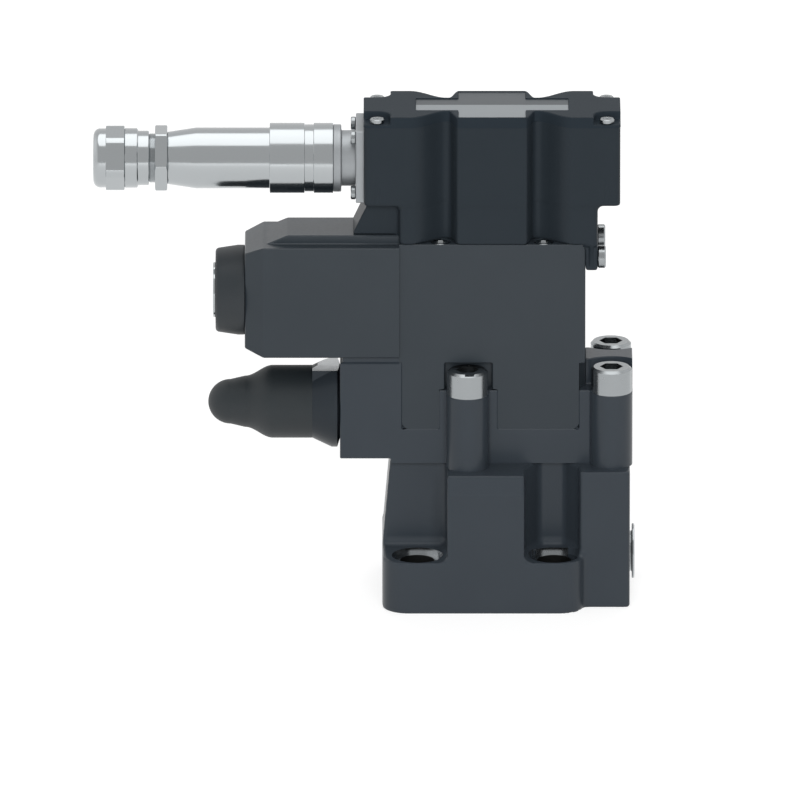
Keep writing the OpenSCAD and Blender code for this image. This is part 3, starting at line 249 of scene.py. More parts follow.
FINISHES = {
    "main_casting": sprayed_enamel("cast iron, dark enamel", "#363d44", "#383f46",
                                   1.6, 0.004, 0.3, 0.28),
    "block_paint": sprayed_enamel("milled steel, dark enamel", "#32393f", "#343b41",
                                  1.2, 0.002, 0.3, 0.3),
    "cap_plastic": moulded_rubber("glass-filled nylon", "#23292d", "#262b2f", 0.5),
    "collar_finish": sprayed_enamel("blackened steel", "#2c3238", "#2f353a",
                                    0.6, 0.006, 0.34, 0.2),
    "housing_paint": sprayed_enamel("cast aluminium, dark enamel", "#2b3238", "#2d343a",
                                    0.7, 0.006, 0.42, 0.13),
    "lid_paint": sprayed_enamel("die-cast aluminium, dark enamel", "#2b333a", "#2d353c",
                                0.7, 0.006, 0.46, 0.06),
    "screw_steel": plated_steel("zinc-plated screw steel", "#9ca0a2", 0.24),
    "stainless": turned_steel("turned stainless steel", "#aeb2b4", 0.14, 0.35, 0.001),
    "stainless_plate": plated_steel("blasted stainless steel", "#a3a7aa", 0.42, 0.6),
    "hardened_steel": plated_steel("ground hardened steel", "#b4b7b9", 0.2),
    "spring_steel": plated_steel("drawn spring steel", "#8c8f92", 0.3),
    "magnet_steel": plated_steel("turned magnet steel", "#a6a9ab", 0.3),
    "coil_winding": varnished_winding("enamelled copper winding"),
    "jet_brass": turned_brass("turned brass"),
    "seal_rubber": moulded_rubber("nitrile seal", "#151618", "#1b1c1e", 0.45),
    "boot_rubber": moulded_rubber("nitrile boot", "#23292c", "#262b2e", 0.55),
    "plate_metal": anodised_plate("anodised aluminium, pale", "#969ca0", "#9da3a7"),
    # Painted shade: a darker copy of the plate's anodised finish, for the half of the nameplate behind
    # its ridge
    "plate_painted_shade": anodised_plate("anodised aluminium, painted shade", "#4c5156", "#52585c"),
    # Painted shadow: a near-black finish for the lower walls of the mounting holes, standing for the
    # shade deep in the bore
    "painted_bore_shadow": moulded_rubber("bore wall, painted shadow black", "#030404", "#050606", 0.6),
    "board_green": lacquered_board("lacquered circuit board"),
    "board_black": moulded_rubber("moulded epoxy", "#17181a", "#1e1f22", 0.45),
}
SLOT_OF = {row["node"]: row["material_slot"] for row in frame["record"]["subparts"]}


def finish_nodes():
    """Gives each CAD node the finish of its slot."""
    for name, piece in frame["nodes"].items():
        piece.data.materials.clear()
        piece.data.materials.append(FINISHES[SLOT_OF[name]])


# Modelling helpers

def add_prism(shape, outline, low, high, axis="Z", corner_r=0, corner_steps=8):
    """Adds a prism to the shape. The outline holds two coordinates a corner, and its
    sides run along axis: X takes (y, z), Y takes (x, z) and Z takes (x, y)."""
    order = {"X": lambda a, b, c: (c, a, b),
             "Y": lambda a, b, c: (a, c, b),
             "Z": lambda a, b, c: (a, b, c)}
    corners = [shape.verts.new(order[axis](a, b, low)) for a, b in outline]
    floor = shape.faces.new(corners)
    grown = bmesh.ops.extrude_face_region(shape, geom=[floor])["geom"]
    lid = [v for v in grown if isinstance(v, bmesh.types.BMVert)]
    direction = Vector(order[axis](0, 0, high - low))
    bmesh.ops.translate(shape, verts=lid, vec=direction)
    faces = {f for v in corners + lid for f in v.link_faces}
    bmesh.ops.recalc_face_normals(shape, faces=list(faces))
    if corner_r:
        sides = [e for v in corners for e in v.link_edges if e.other_vert(v) in lid]
        bmesh.ops.bevel(shape, geom=sides, offset=corner_r, offset_type="OFFSET", segments=corner_steps,
                        profile=0.5, affect="EDGES", material=-1)


def add_box(shape, x, y, z, corner_r=0):
    """Adds a box from ranges along X, Y and Z, with its upright edges rounded."""
    plan = [(x[0], y[0]), (x[1], y[0]), (x[1], y[1]), (x[0], y[1])]
    add_prism(shape, plan, z[0], z[1], corner_r=corner_r)


def add_rod(shape, centre, radius, low, high, axis="Z"):
    """Adds a round bar between two places along axis. The centre holds the other two coordinates."""
    made = bmesh.ops.create_cone(shape, cap_ends=True, segments=ROUND, radius1=radius,
                                 radius2=radius, depth=high - low)
    middle = (low + high) / 2
    turn = {"X": Matrix.Rotation(math.pi / 2, 4, "Y"), "Z": Matrix()}
    place = {"X": (middle, *centre), "Z": (*centre, middle)}
    bmesh.ops.transform(shape, matrix=Matrix.Translation(place[axis]) @ turn[axis], verts=made["verts"])


def turned(profile, centre, steps=ROUND, edge=0.0, closed=False):
    """A shape turned about an axis along X, from (place along it, radius) pairs. Edges sharper
    than 25 degrees are rounded by edge. A closed profile makes a ring."""
    shape = bmesh.new()
    corners = [shape.verts.new((along, 0, radius)) for along, radius in profile]
    edges = [shape.edges.new(pair) for pair in zip(corners, corners[1:])]
    if closed:
        edges.append(shape.edges.new((corners[-1], corners[0])))
    bmesh.ops.spin(shape, geom=corners + edges, cent=(0, 0, 0), axis=(1, 0, 0), angle=2 * math.pi,
                   steps=steps, use_merge=True)
    bmesh.ops.remove_doubles(shape, verts=shape.verts, dist=1e-4)
    bmesh.ops.recalc_face_normals(shape, faces=shape.faces)
    if edge:
        round_edges(shape, edge, 25)
    bmesh.ops.translate(shape, verts=shape.verts, vec=(0, *centre))
    return shape


def round_edges(shape, width, sharper_than, segments=3, keep=None):
    """Bevels the edges where faces meet more sharply than the given angle and that pass the
    keep test. One segment makes a chamfer, more make a rounding."""
    limit = math.radians(sharper_than)
    sharp = [e for e in shape.edges if e.is_manifold and e.calc_face_angle(0) > limit
             and (keep is None or keep(e))]
    bmesh.ops.bevel(shape, geom=sharp, offset=width, offset_type="OFFSET", segments=segments,
                    profile=0.5, affect="EDGES", material=-1, clamp_overlap=False,
                    miter_outer="ARC", spread=0.05)


def new_object(name, shape):
    """An object in millimetres from a bmesh, which is used up."""
    mesh = bpy.data.meshes.new(name)
    shape.to_mesh(mesh)
    shape.free()
    thing = bpy.data.objects.new(name, mesh)
    bpy.context.scene.collection.objects.link(thing)
    return thing


def with_modifiers(thing):
    """Applies an object's modifiers and returns it."""
    bpy.context.view_layer.update()
    evaluated = thing.evaluated_get(bpy.context.evaluated_depsgraph_get())
    mesh = bpy.data.meshes.new_from_object(evaluated)
    thing.modifiers.clear()
    thing.data = mesh
    return thing


def combined(thing, other, operation):
    """Boolean of an object with a bmesh, both in millimetres."""
    tool = new_object("tool", other)
    modifier = thing.modifiers.new("combine", "BOOLEAN")
    modifier.operation = operation
    modifier.solver = "MANIFOLD"
    modifier.object = tool
    with_modifiers(thing)
    bpy.data.objects.remove(tool)
    return thing


def cut(thing, add, *place, **more):
    """Takes one box, rod or prism away from an object."""
    tool = bmesh.new()
    add(tool, *place, **more)
    return combined(thing, tool, "DIFFERENCE")


def join(thing, add, *place, **more):
    """Makes one more box, rod or prism part of an object."""
    lump = bmesh.new()
    add(lump, *place, **more)
    return combined(thing, lump, "UNION")


def cast(thing, voxel, fillet=0.0, passes=3):
    """Turns sharp overlapping lumps into one casting. Grown by fillet and shrunk again, its
    inner corners get fillets, and smoothing softens all edges."""
    for push in ([fillet, -fillet] if fillet else []) + [0]:
        remesh = thing.modifiers.new("voxels", "REMESH")
        remesh.mode = "VOXEL"
        remesh.voxel_size = voxel
        with_modifiers(thing)
        if push:
            displace = thing.modifiers.new("grow", "DISPLACE")
            displace.mid_level = 0
            displace.strength = push
            with_modifiers(thing)
    soften = thing.modifiers.new("soften", "SMOOTH")
    soften.factor = 0.5
    soften.iterations = passes
    flatten = thing.modifiers.new("flatten", "DECIMATE")
    flatten.decimate_type = "DISSOLVE"
    flatten.angle_limit = math.radians(0.6)
    return with_modifiers(thing)


def broken_edges(thing, width, angle=30, keep=None):
    """Chamfers the edges that are sharper than the angle, as a deburring tool leaves them."""
    shape = bmesh.new()
    shape.from_mesh(thing.data)
    bmesh.ops.dissolve_limit(shape, angle_limit=math.radians(0.4), verts=shape.verts, edges=shape.edges)
    round_edges(shape, width, angle, 1, keep)
    shape.to_mesh(thing.data)
    shape.free()
    return thing


def above(height):
    """A test for edges that don't lie at or below a height."""
    return lambda edge: max(corner.co.z for corner in edge.verts) > height + 0.05


def show(thing, nodes, sharp=30, body=ROOT, finish=None):
    """Turns a finished object to metres and lets it stand for its CAD nodes."""
    mesh = thing.data
    mesh.transform(Matrix.Scale(MM, 4))
    mesh.shade_smooth()
    mesh.set_sharp_from_angle(angle=math.radians(sharp))
    mesh.materials.clear()
    mesh.materials.append(FINISHES[finish or SLOT_OF[nodes[0]]])
    weigh = thing.modifiers.new("weighted normals", "WEIGHTED_NORMAL")
    weigh.keep_sharp = True
    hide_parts(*nodes)
    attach(thing, body)


def face_bare_or_shaded(thing, is_bare, finish="hardened_steel"):
    """Gives some faces of a piece another finish: bare metal, or a darker paint that stands for painted
    shade. The test sees them in millimetres.
    """
    mesh = thing.data
    mesh.materials.append(FINISHES[finish])
    for face in mesh.polygons:
        place = BareFace(face.center / MM, face.normal.copy())
        if is_bare(place):
            face.material_index = len(mesh.materials) - 1


def eased(node, width, keep=None, finish=None):
    """A copy of a CAD node with its edges broken, as they leave the machine."""
    shape = bmesh.new()
    shape.from_mesh(frame["nodes"][node].data)
    bmesh.ops.scale(shape, vec=(1 / MM, 1 / MM, 1 / MM), verts=shape.verts)
    bmesh.ops.remove_doubles(shape, verts=shape.verts, dist=0.001)
    thing = broken_edges(new_object(node + "_dressed", shape), width, keep=keep)
    show(thing, [node], finish=finish)


# Main body

# Distance between the mounting holes both ways, and the axes of the cover's front screws
PITCH = 53.8
LEFT_SCREW = (-7.2, 22.0)
RIGHT_SCREW = (49.4, 17.5)
PORT_P_X = -4.8
PORT_T_X = 20.6

# Where the main body ends and the cover begins, and the room round the cover's screws
JOINT_Z = 56
BOLT_HOLE_R = 5.1
HEAD_ROOM_R = 12.8
# How far a cutting shape reaches beyond the face it cuts
PAST = 3

# Faces that the cover and the pilot block share, and the axes of limiter and solenoid
PILOT_LEFT = -32.9
PILOT_RIGHT = 36.6
NOTCH_LEFT = -18.3
NOTCH_RIGHT = 4.7
SEAT_Z = 85.8
LIMITER_TOP = 97
LIMITER_Z = 76.1
SOLENOID_Z = 122


def front_and_back(places):
    """Each place in front of the middle plane and its mirror image behind."""
    return [(x, side * y) for x, y in places for side in (-1, 1)]


MOUNTING_HOLES = front_and_back([(-PITCH / 2, PITCH / 2), (PITCH / 2, PITCH / 2)])
COVER_SCREWS = front_and_back([LEFT_SCREW, RIGHT_SCREW])


def near(places, reach):
    """A test for faces that lie within reach of an upright axis."""
    return lambda face: any(math.hypot(face.center.x - x, face.center.y - y) < reach for x, y in places)


def main_body():
    """Cast body: mounting flange, waist with a wedge at the left, and an end block with cheeks."""
    low, high = box_mm("main_body")
    half = high.y
    flange_right, flange_h = 38.8, 21
    wall, lean = 13.5, (3.4, 7.5)
    end_half, end_right = 29.2, high.x - 1
    cheek_in, cheek_tip = 24.5, 21.2
    top = JOINT_Z
    lumps = bmesh.new()
    add_prism(lumps, [(low.x, -half), (flange_right, -half), (flange_right, half), (low.x, half)],
              0, flange_h, corner_r=10)
    pillar = [(-half, 0), (-half, top - lean[1]), (-half + lean[0], top),
              (half - lean[0], top), (half, top - lean[1]), (half, 0)]
    add_prism(lumps, pillar, -15.2, 15.2, axis="X")
    add_prism(lumps, [(low.x, 0), (low.x, flange_h), (low.x + 3.1, top), (0, top), (0, 0)],
              -wall, wall, axis="Y")
    add_box(lumps, (0, 36), (-wall, wall), (0, top))
    add_box(lumps, (flange_right - 2, end_right), (-end_half, end_half), (0, top), corner_r=1.5)
    left_cheek = [(12, end_half), (15.4, end_half), (15.4, cheek_in), (cheek_tip, wall), (12, wall)]
    right_cheek = [(45, end_half), (flange_right, end_half), (flange_right, cheek_in), (31, wall),
                   (45, wall)]
    for side in (-1, 1):
        for outline in (left_cheek, right_cheek):
            add_prism(lumps, [(x, side * y) for x, y in outline], 0, top)
    thing = cast(new_object("main_body_casting", lumps), CASTING_VOXEL, fillet=2.2, passes=2)

    hole_r, spot_r, spot_depth = 6.75, 10, 2
    for x, y in MOUNTING_HOLES:
        cut(thing, add_rod, (x, y), hole_r, -PAST, flange_h + PAST)
        cut(thing, add_rod, (x, y), spot_r, flange_h - spot_depth, flange_h + 12)
    for x, y in COVER_SCREWS:
        cut(thing, add_rod, (x, y), BOLT_HOLE_R, top - 20, top + PAST)
    port_r, port_ring, ring_depth = 7, 11.6, 2.7
    ports = ((PORT_P_X, port_r, port_ring, 9), (PORT_T_X, port_r, port_ring, 14.5),
             (-PITCH / 2, 1.6, 7.2, 30))
    for x, radius, ring, depth in ports:
        cut(thing, add_rod, (x, 0), radius, -PAST, depth)
        cut(thing, add_rod, (x, 0), ring, -PAST, ring_depth)
    sleeve_r, sleeve_floor = 12, 8
    cut(thing, add_rod, (PORT_P_X, 0), sleeve_r, sleeve_floor, top + PAST)
    gallery, gallery_r, plug_r, plug_depth = (0, 14.5), 6, 8.1, 11
    cut(thing, add_rod, gallery, gallery_r, 0, high.x, "X")
    cut(thing, add_rod, gallery, plug_r, high.x - plug_depth, high.x + PAST, "X")
    show(thing, ["main_body"])
    in_hole = near(MOUNTING_HOLES, spot_r + 0.05)
    in_port = near([(PORT_P_X, 0), (PORT_T_X, 0)], port_ring + 0.1)
    bright_z = flange_h - spot_depth - 0.2
    face_bare_or_shaded(thing, lambda face: (in_hole(face) and bright_z < face.center.z < flange_h - 0.2)
              or (face.center.z < 0.3 and face.normal.z < -0.95)
              or (in_port(face) and 0.3 < face.center.z < 15))
    # Below the bare band, the hole walls get the near-black finish: painted shadow
    face_bare_or_shaded(thing, lambda face: in_hole(face) and 0.3 < face.center.z <= bright_z, "painted_bore_shadow")


# Cover

def cover_body():
    """Cover: slab, limiter block at the left, end block and a pillar for each screw."""
    low, high = box_mm("cover_body")
    half = 17.5
    slab_top = 70
    pillar_r, pillar_in = 8.3, 12.5
    solenoid_low = box_mm("solenoid_housing")[0].z
    slab = bmesh.new()
    add_box(slab, (-37.4, high.x), (-half, half), (JOINT_Z, slab_top))
    thing = new_object("cover_casting", slab)
    join(thing, add_box, (low.x, PILOT_LEFT), (-half, half), (57.8, LIMITER_TOP))
    join(thing, add_box, (low.x + 1, PILOT_LEFT), (0.8 - half, half - 0.8),
         (LIMITER_TOP - 1, solenoid_low - 0.15))
    join(thing, add_box, (PILOT_RIGHT, high.x), (-half, half), (slab_top - 1, SEAT_Z))
    join(thing, add_box, (39.1, high.x), (-7.8, 7.8), (SEAT_Z - 1, 96))
    x, y = LEFT_SCREW
    for side in (-1, 1):
        join(thing, add_box, (NOTCH_LEFT, NOTCH_RIGHT), sorted((side * pillar_in, side * half)),
             (slab_top - 1, SEAT_Z))
        join(thing, add_box, (x - pillar_r, x + pillar_r), sorted((side * pillar_in, side * y)),
             (JOINT_Z, SEAT_Z))
        join(thing, add_rod, (x, side * y), pillar_r, JOINT_Z, SEAT_Z)
        join(thing, add_rod, (RIGHT_SCREW[0], side * RIGHT_SCREW[1]), pillar_r, JOINT_Z, SEAT_Z)
    for side in (-1, 1):
        cut(thing, add_rod, (RIGHT_SCREW[0], side * RIGHT_SCREW[1]), HEAD_ROOM_R, SEAT_Z, 130)
    corner_r = 2
    for foot_x, way in ((PILOT_LEFT, 1), (PILOT_RIGHT, -1)):
        arc = [(foot_x + way * corner_r * (1 - math.sin(a)), slab_top + corner_r * (1 - math.cos(a)))
               for a in (math.radians(step * 11.25) for step in range(9))]
        fillet = [(foot_x - way, slab_top - 0.5), (foot_x + way * corner_r, slab_top - 0.5)] + arc
        join(thing, add_prism, fillet + [(foot_x - way, slab_top + corner_r)],
             0.3 - half, half - 0.3, axis="Y")
    broken_edges(thing, 0.36, keep=above(JOINT_Z))
    for x, y in COVER_SCREWS:
        cut(thing, add_rod, (x, y), BOLT_HOLE_R, 40, 120)
    cut(thing, add_rod, (0, LIMITER_Z), 10, low.x - PAST, -39, "X")
    cut(thing, add_rod, (PORT_P_X, 0), 6.5, JOINT_Z - PAST, low.z + 6)
    show(thing, ["cover_body"])


# Pilot block

def pilot_block():
    """Milled block with rounded foot corners and a notch for each screw head."""
    low, high = box_mm("pilot_block")
    half = high.y
    notch_in = 12.2
    body = bmesh.new()
    add_prism(body, [(PILOT_LEFT, low.z), (PILOT_RIGHT, low.z), (PILOT_RIGHT, SEAT_Z),
                     (high.x, SEAT_Z), (high.x, high.z), (low.x, high.z), (low.x, LIMITER_TOP),
                     (PILOT_LEFT, LIMITER_TOP)],
              -half, half, axis="Y")
    foot_edges = [e for e in body.edges if abs(e.verts[0].co.y - e.verts[1].co.y) > 1
                  and e.verts[0].co.z < low.z + 1]
    bmesh.ops.bevel(body, geom=foot_edges, offset=2, offset_type="OFFSET", segments=8,
                    profile=0.5, affect="EDGES", material=-1)
    thing = new_object("pilot_block_milled", body)
    for side in (-1, 1):
        inner, outer = sorted((side * notch_in, side * (half + PAST)))
        cut(thing, add_box, (NOTCH_LEFT, NOTCH_RIGHT), (inner, outer), (low.z - PAST, SEAT_Z + 0.3))
        cut(thing, add_box, (NOTCH_LEFT + 2.1, NOTCH_RIGHT - 2.1), (inner, outer),
            (low.z - PAST, SEAT_Z + 11.2))
        cut(thing, add_rod, (RIGHT_SCREW[0], side * RIGHT_SCREW[1]), HEAD_ROOM_R,
            low.z - PAST, LIMITER_TOP)
    joints = (PILOT_LEFT, NOTCH_LEFT, NOTCH_RIGHT, PILOT_RIGHT, low.x)

    def stands_free(edge):
        """Edges that don't lie against another piece, where a chamfer would show as a groove."""
        at_joint = any(all(abs(corner.co.x - joint) < 0.05 for corner in edge.verts)
                       for joint in joints)
        return above(low.z)(edge) and not at_joint

    broken_edges(thing, 0.3, keep=stands_free)
    for side in (-1, 1):
        for x in (BOX_X - FOOT_X, BOX_X + FOOT_X):
            cut(thing, add_rod, (x, side * 12.55), 4.3, high.z - 3.8, high.z + PAST)
    show(thing, ["pilot_block"])


# Solenoid

def solenoid_housing():
    """Square shell, drawn in at its left end, with a flat rib on top."""
    low, high = box_mm("solenoid_housing")
    half = high.y
    top = high.z - 3.5
    run, step = 7.3, 3.1
    coil_r, tube_r, end_wall = 17, 11.1, 5
    side_view = bmesh.new()
    add_prism(side_view, [(low.x, low.z + step), (low.x + run, low.z), (high.x, low.z), (high.x, top),
                          (low.x + run, top), (low.x, top - step)], -half, half, axis="Y")
    plan = bmesh.new()
    add_prism(plan, [(low.x, -half + step), (low.x + run, -half), (high.x + 1, -half),
                     (high.x + 1, half), (low.x + run, half), (low.x, half - step)],
              low.z - 1, top + 1)
    thing = combined(new_object("solenoid_shell", side_view), plan, "INTERSECT")
    rib = bmesh.new()
    add_prism(rib, [(low.x + 8.6, top - 1), (low.x + 8.6, top), (low.x + 16.8, high.z),
                    (high.x, high.z), (high.x, top - 1)], -12.7, 12.7, axis="Y")
    combined(thing, rib, "UNION")
    broken_edges(thing, 0.4, angle=12,
                 keep=lambda edge: any(corner.co.x < high.x - 0.05 for corner in edge.verts))
    cut(thing, add_rod, (0, SOLENOID_Z), coil_r, low.x + end_wall, high.x + PAST, "X")
    cut(thing, add_rod, (0, SOLENOID_Z), tube_r, low.x - PAST, high.x + PAST, "X")
    show(thing, ["solenoid_housing"])


def solenoid_end_cap():
    """Round cap, a little wider towards the housing."""
    low, high = box_mm("solenoid_end_cap")
    face_r, skirt_r, inner_r, hole_r = 15.7, 17.7, 11.1, 3
    profile = [(low.x, hole_r), (low.x, face_r), (low.x + 0.8, 16.5), (high.x - 2.7, skirt_r),
               (high.x, skirt_r), (high.x, inner_r), (low.x + 5.1, inner_r), (low.x + 5.1, hole_r)]
    shape = turned(profile, (0, SOLENOID_Z), edge=0.5, closed=True)
    show(new_object("end_cap_moulded", shape), ["solenoid_end_cap"])


# Electronics housing

# The middle of the housing, and how far its lid's and its feet's screws stand from it
BOX_X = 2.4
LID_SCREW_X = 45.05
FOOT_X = 20.25
# Where the wave leaves the middle lobe, reaches its waist, leaves it and ends
WAVE = (13.2, 17.0, 17.4, 32.0)


def wave(edge, waist):
    """Half depth of the housing along one wave, from the middle lobe to the waist and out again."""
    lobe, waist_in, waist_out, end = WAVE
    swing = (edge - waist) / 2
    inner_side = [(lobe + t * (waist_in - lobe), waist + swing * (1 + math.cos(math.pi * t)))
                  for t in (step / 10 for step in range(11))]
    outer_side = [(waist_out + t * (end - waist_out), waist + swing * (1 - math.cos(math.pi * t)))
                  for t in (step / 24 for step in range(25))]
    return inner_side + outer_side


def wavy_outline(left, right, edge, waist, corner):
    """Plan of the housing, corner by corner, anticlockwise from the front middle."""
    quarter = []
    for end in (right, left):
        side = wave(edge, waist)
        arc = [(end - corner + corner * math.sin(a), edge - corner + corner * math.cos(a))
               for a in (math.radians(step * 15) for step in range(7))]
        quarter.append([p for p in side if p[0] < end - corner - 0.1] + arc)
    front_right = [(x, -y) for x, y in quarter[0]]
    back_right = [(x, y) for x, y in reversed(quarter[0])]
    back_left = [(-x, y) for x, y in quarter[1]]
    front_left = [(-x, -y) for x, y in reversed(quarter[1])]
    return [(BOX_X + x, y) for x, y in front_right + back_right + back_left + front_left]


LID_SCREWS = front_and_back([(BOX_X - LID_SCREW_X, 15.3), (BOX_X + LID_SCREW_X, 15.3)])


def electronics_housing():
    """Waved box over a narrower neck, with an ear at the left, a lip at the right and four feet."""
    high = box_mm("electronics_housing")[1]
    half, waist, wall = 18.6, 9.2, 2.6
    neck_low, box_low = 145.5, 161.4
    lumps = bmesh.new()
    add_prism(lumps, wavy_outline(50.3, 50.3, half + 0.3, waist + 0.3, 2.2), box_low, high.z + 2)
    add_prism(lumps, wavy_outline(36.4, 41.5, half, waist, 1.8), neck_low, box_low + 1)
    add_prism(lumps, [(-45.9, box_low), (-45.3, box_low + 2), (-33, box_low + 2), (-33, 148),
                      (-52.45, 148)], -12, 12, axis="Y")
    add_box(lumps, (39.1, 43.9), (-18.9, 18.9), (135.4, neck_low + 1))
    thing = new_object("housing_casting", lumps)
    cast(thing, HOUSING_VOXEL, fillet=1.6, passes=2)
    draft = 0.075
    for vertex in thing.data.vertices:
        lift = min(max((vertex.co.z - neck_low) / (high.z - neck_low), 0), 1)
        if vertex.co.z > neck_low - 0.3 or vertex.co.x < 38:
            vertex.co.y *= 1 - draft + draft * lift
    foot_r, foot_y, foot_low, foot_top = 3.9, 12.8, 141.7, 143.7
    for side in (-1, 1):
        for x in (BOX_X - FOOT_X, BOX_X + FOOT_X):
            foot = bmesh.new()
            across = (x - foot_r, x + foot_r)
            add_rod(foot, (x, side * foot_y), foot_r, foot_low, foot_top)
            add_box(foot, across, sorted((side * 5, side * foot_y)), (foot_low, foot_top))
            add_box(foot, across, sorted((side * 5, side * 8)), (foot_low, neck_low + 1))
            add_piece(thing, foot)
    cut(thing, add_box, (-60, 60), (-30, 30), (high.z, high.z + 10))
    inside = bmesh.new()
    add_prism(inside, wavy_outline(47.45, 47.45, half - wall, waist - wall, 1),
              box_low + wall, high.z + PAST)
    combined(thing, inside, "DIFFERENCE")
    for x, y in LID_SCREWS:
        boss = bmesh.new()
        add_rod(boss, (x, y), 3, box_low + 1, high.z)
        add_piece(thing, boss)
    cut(thing, add_rod, (0, ENTRY_Z), 9, -49, -44, "X")
    show(thing, ["electronics_housing"])


def add_piece(thing, shape):
    """Adds a closed shape to an object without joining their surfaces."""
    mesh = bpy.data.meshes.new("piece")
    shape.to_mesh(mesh)
    shape.free()
    whole = bmesh.new()
    whole.from_mesh(thing.data)
    whole.from_mesh(mesh)
    whole.to_mesh(thing.data)
    whole.free()
    bpy.data.meshes.remove(mesh)


def housing_lid():
    """Waved lid with a pocket for each screw, a recess for the nameplate and a rim inside."""
    low, high = box_mm("housing_lid")
    half = 19.0
    base = 193.7
    pocket_r, pocket_floor, beyond = 5.2, base + 1.2, 12
    lumps = bmesh.new()
    add_prism(lumps, wavy_outline(50.4, 50.4, half, 9.6, 2.3), base - 2, high.z)
    thing = new_object("lid_casting", lumps)
    pocket = (pocket_floor, high.z + PAST)
    for x, y in LID_SCREWS:
        out_x = 1 if x > BOX_X else -1
        out_y = 1 if y > 0 else -1
        x_far, y_far = x + beyond * out_x, y + beyond * out_y
        cut(thing, add_rod, (x, y), pocket_r, *pocket)
        cut(thing, add_box, sorted((x, x_far)), sorted((y - pocket_r * out_y, y_far)), pocket)
        cut(thing, add_box, sorted((x - pocket_r * out_x, x_far)), sorted((y, y_far)), pocket)
    cast(thing, LID_VOXEL, passes=4)
    cut(thing, add_box, (-60, 60), (-30, 30), (base - 5, base))
    cut(thing, add_prism, plate_outline(0.02), PLATE_FLOOR, high.z + PAST, corner_r=0.6)
    rim = bmesh.new()
    add_prism(rim, wavy_outline(45.2, 45.2, half - 4.9, 4.5, 1), low.z, base + 0.5)
    add_piece(thing, rim)
    show(thing, ["housing_lid"], finish="lid_paint")


PLATE_FLOOR = 197.0
# Left end, right end and half width of the plate's strip and of its wide middle
PLATE_STRIP = (-27.5, 32.4, 8.3)
PLATE_MIDDLE = (-10.8, 15.6, 18.3)


def plate_outline(play):
    """Plan of the nameplate: a long strip along X with a wide middle."""
    (left, right, strip), (inner_left, inner_right, wide) = (
        (part[0] - play, part[1] + play, part[2] + play) for part in (PLATE_STRIP, PLATE_MIDDLE))
    front = [(left, -strip), (inner_left, -strip), (inner_left, -wide),
             (inner_right, -wide), (inner_right, -strip), (right, -strip)]
    return front + [(x, -y) for x, y in reversed(front)]


def nameplate():
    """Plate let into the lid and left bare. A low ridge runs along its middle, and the half
    behind it gets a darker copy of the plate's finish, as painted shade."""
    edge_z, ridge = 197.55, 0.15
    plate = bmesh.new()
    add_prism(plate, plate_outline(0), PLATE_FLOOR + 0.05, edge_z, corner_r=0.6)
    bmesh.ops.bisect_plane(plate, geom=plate.verts[:] + plate.edges[:] + plate.faces[:],
                           plane_co=(0, 0, 0), plane_no=(0, 1, 0), dist=0.001)
    for corner in plate.verts:
        if abs(corner.co.y) < 0.01 and corner.co.z > edge_z - 0.01:
            corner.co.z += ridge
    thing = broken_edges(new_object("nameplate_folded", plate), 0.1)
    show(thing, ["nameplate"], sharp=15)
    # The half behind the ridge gets the darker copy of the finish: painted shade
    face_bare_or_shaded(thing, lambda face: face.center.y > 0, "plate_painted_shade")


# Cable entry

ENTRY_Z = 176
# Width across the flats of both nuts
NUT_FLATS = 23.2


def hexagon(flats, turn):
    """Corners of a hexagon in the plane across X, the first one turned from the top towards
    the back by so many degrees."""
    radius = flats / math.sqrt(3)
    angles = [math.radians(90 - turn + 60 * step) for step in range(6)]
    return [(radius * math.cos(a), radius * math.sin(a)) for a in angles]


def hex_nut(node, low, high, turn, bore, corner_r, chamfer):
    """Nut with rounded corners and turned ends."""
    shape = bmesh.new()
    add_prism(shape, [(y, z + ENTRY_Z) for y, z in hexagon(NUT_FLATS, turn)], low, high, axis="X",
              corner_r=corner_r)
    thing = new_object(node + "_milled", shape)
    outer = NUT_FLATS / math.sqrt(3)
    barrel = turned([(low, 0), (low, outer - chamfer), (low + chamfer * 0.6, outer + 0.02),
                     (high - chamfer * 0.6, outer + 0.02), (high, outer - chamfer), (high, 0)],
                    (0, ENTRY_Z))
    combined(thing, barrel, "INTERSECT")
    cut(thing, add_rod, (0, ENTRY_Z), bore, low - PAST, high + PAST, "X")
    return thing


def entry_nuts():
    """Lock nut on the tube's end, and the gland's nut with its domed cap."""
    low, high = box_mm("entry_lock_nut")
    lock_nut = hex_nut("entry_lock_nut", low.x, high.x, turn=30, bore=9.89, corner_r=0.8, chamfer=0.8)
    show(lock_nut, ["entry_lock_nut"])
    low, high = box_mm("gland_nut")
    dome_x, dome_r, rim_r = high.x - 7.3, 11.65, 2.8
    nut = hex_nut("gland_nut", dome_x, high.x, turn=17, bore=8.5, corner_r=2.4, chamfer=1.0)
    arc = [(low.x + rim_r - rim_r * math.sin(a), dome_r - rim_r + rim_r * math.cos(a))
           for a in (math.radians(step * 9) for step in range(11))]
    mouth = [(low.x, 6.6), (low.x + 0.6, 6.0)]
    dome = turned([(dome_x, 6.1), (dome_x, dome_r)] + arc + mouth, (0, ENTRY_Z), closed=True)
    add_piece(nut, dome)
    show(nut, ["gland_nut"])


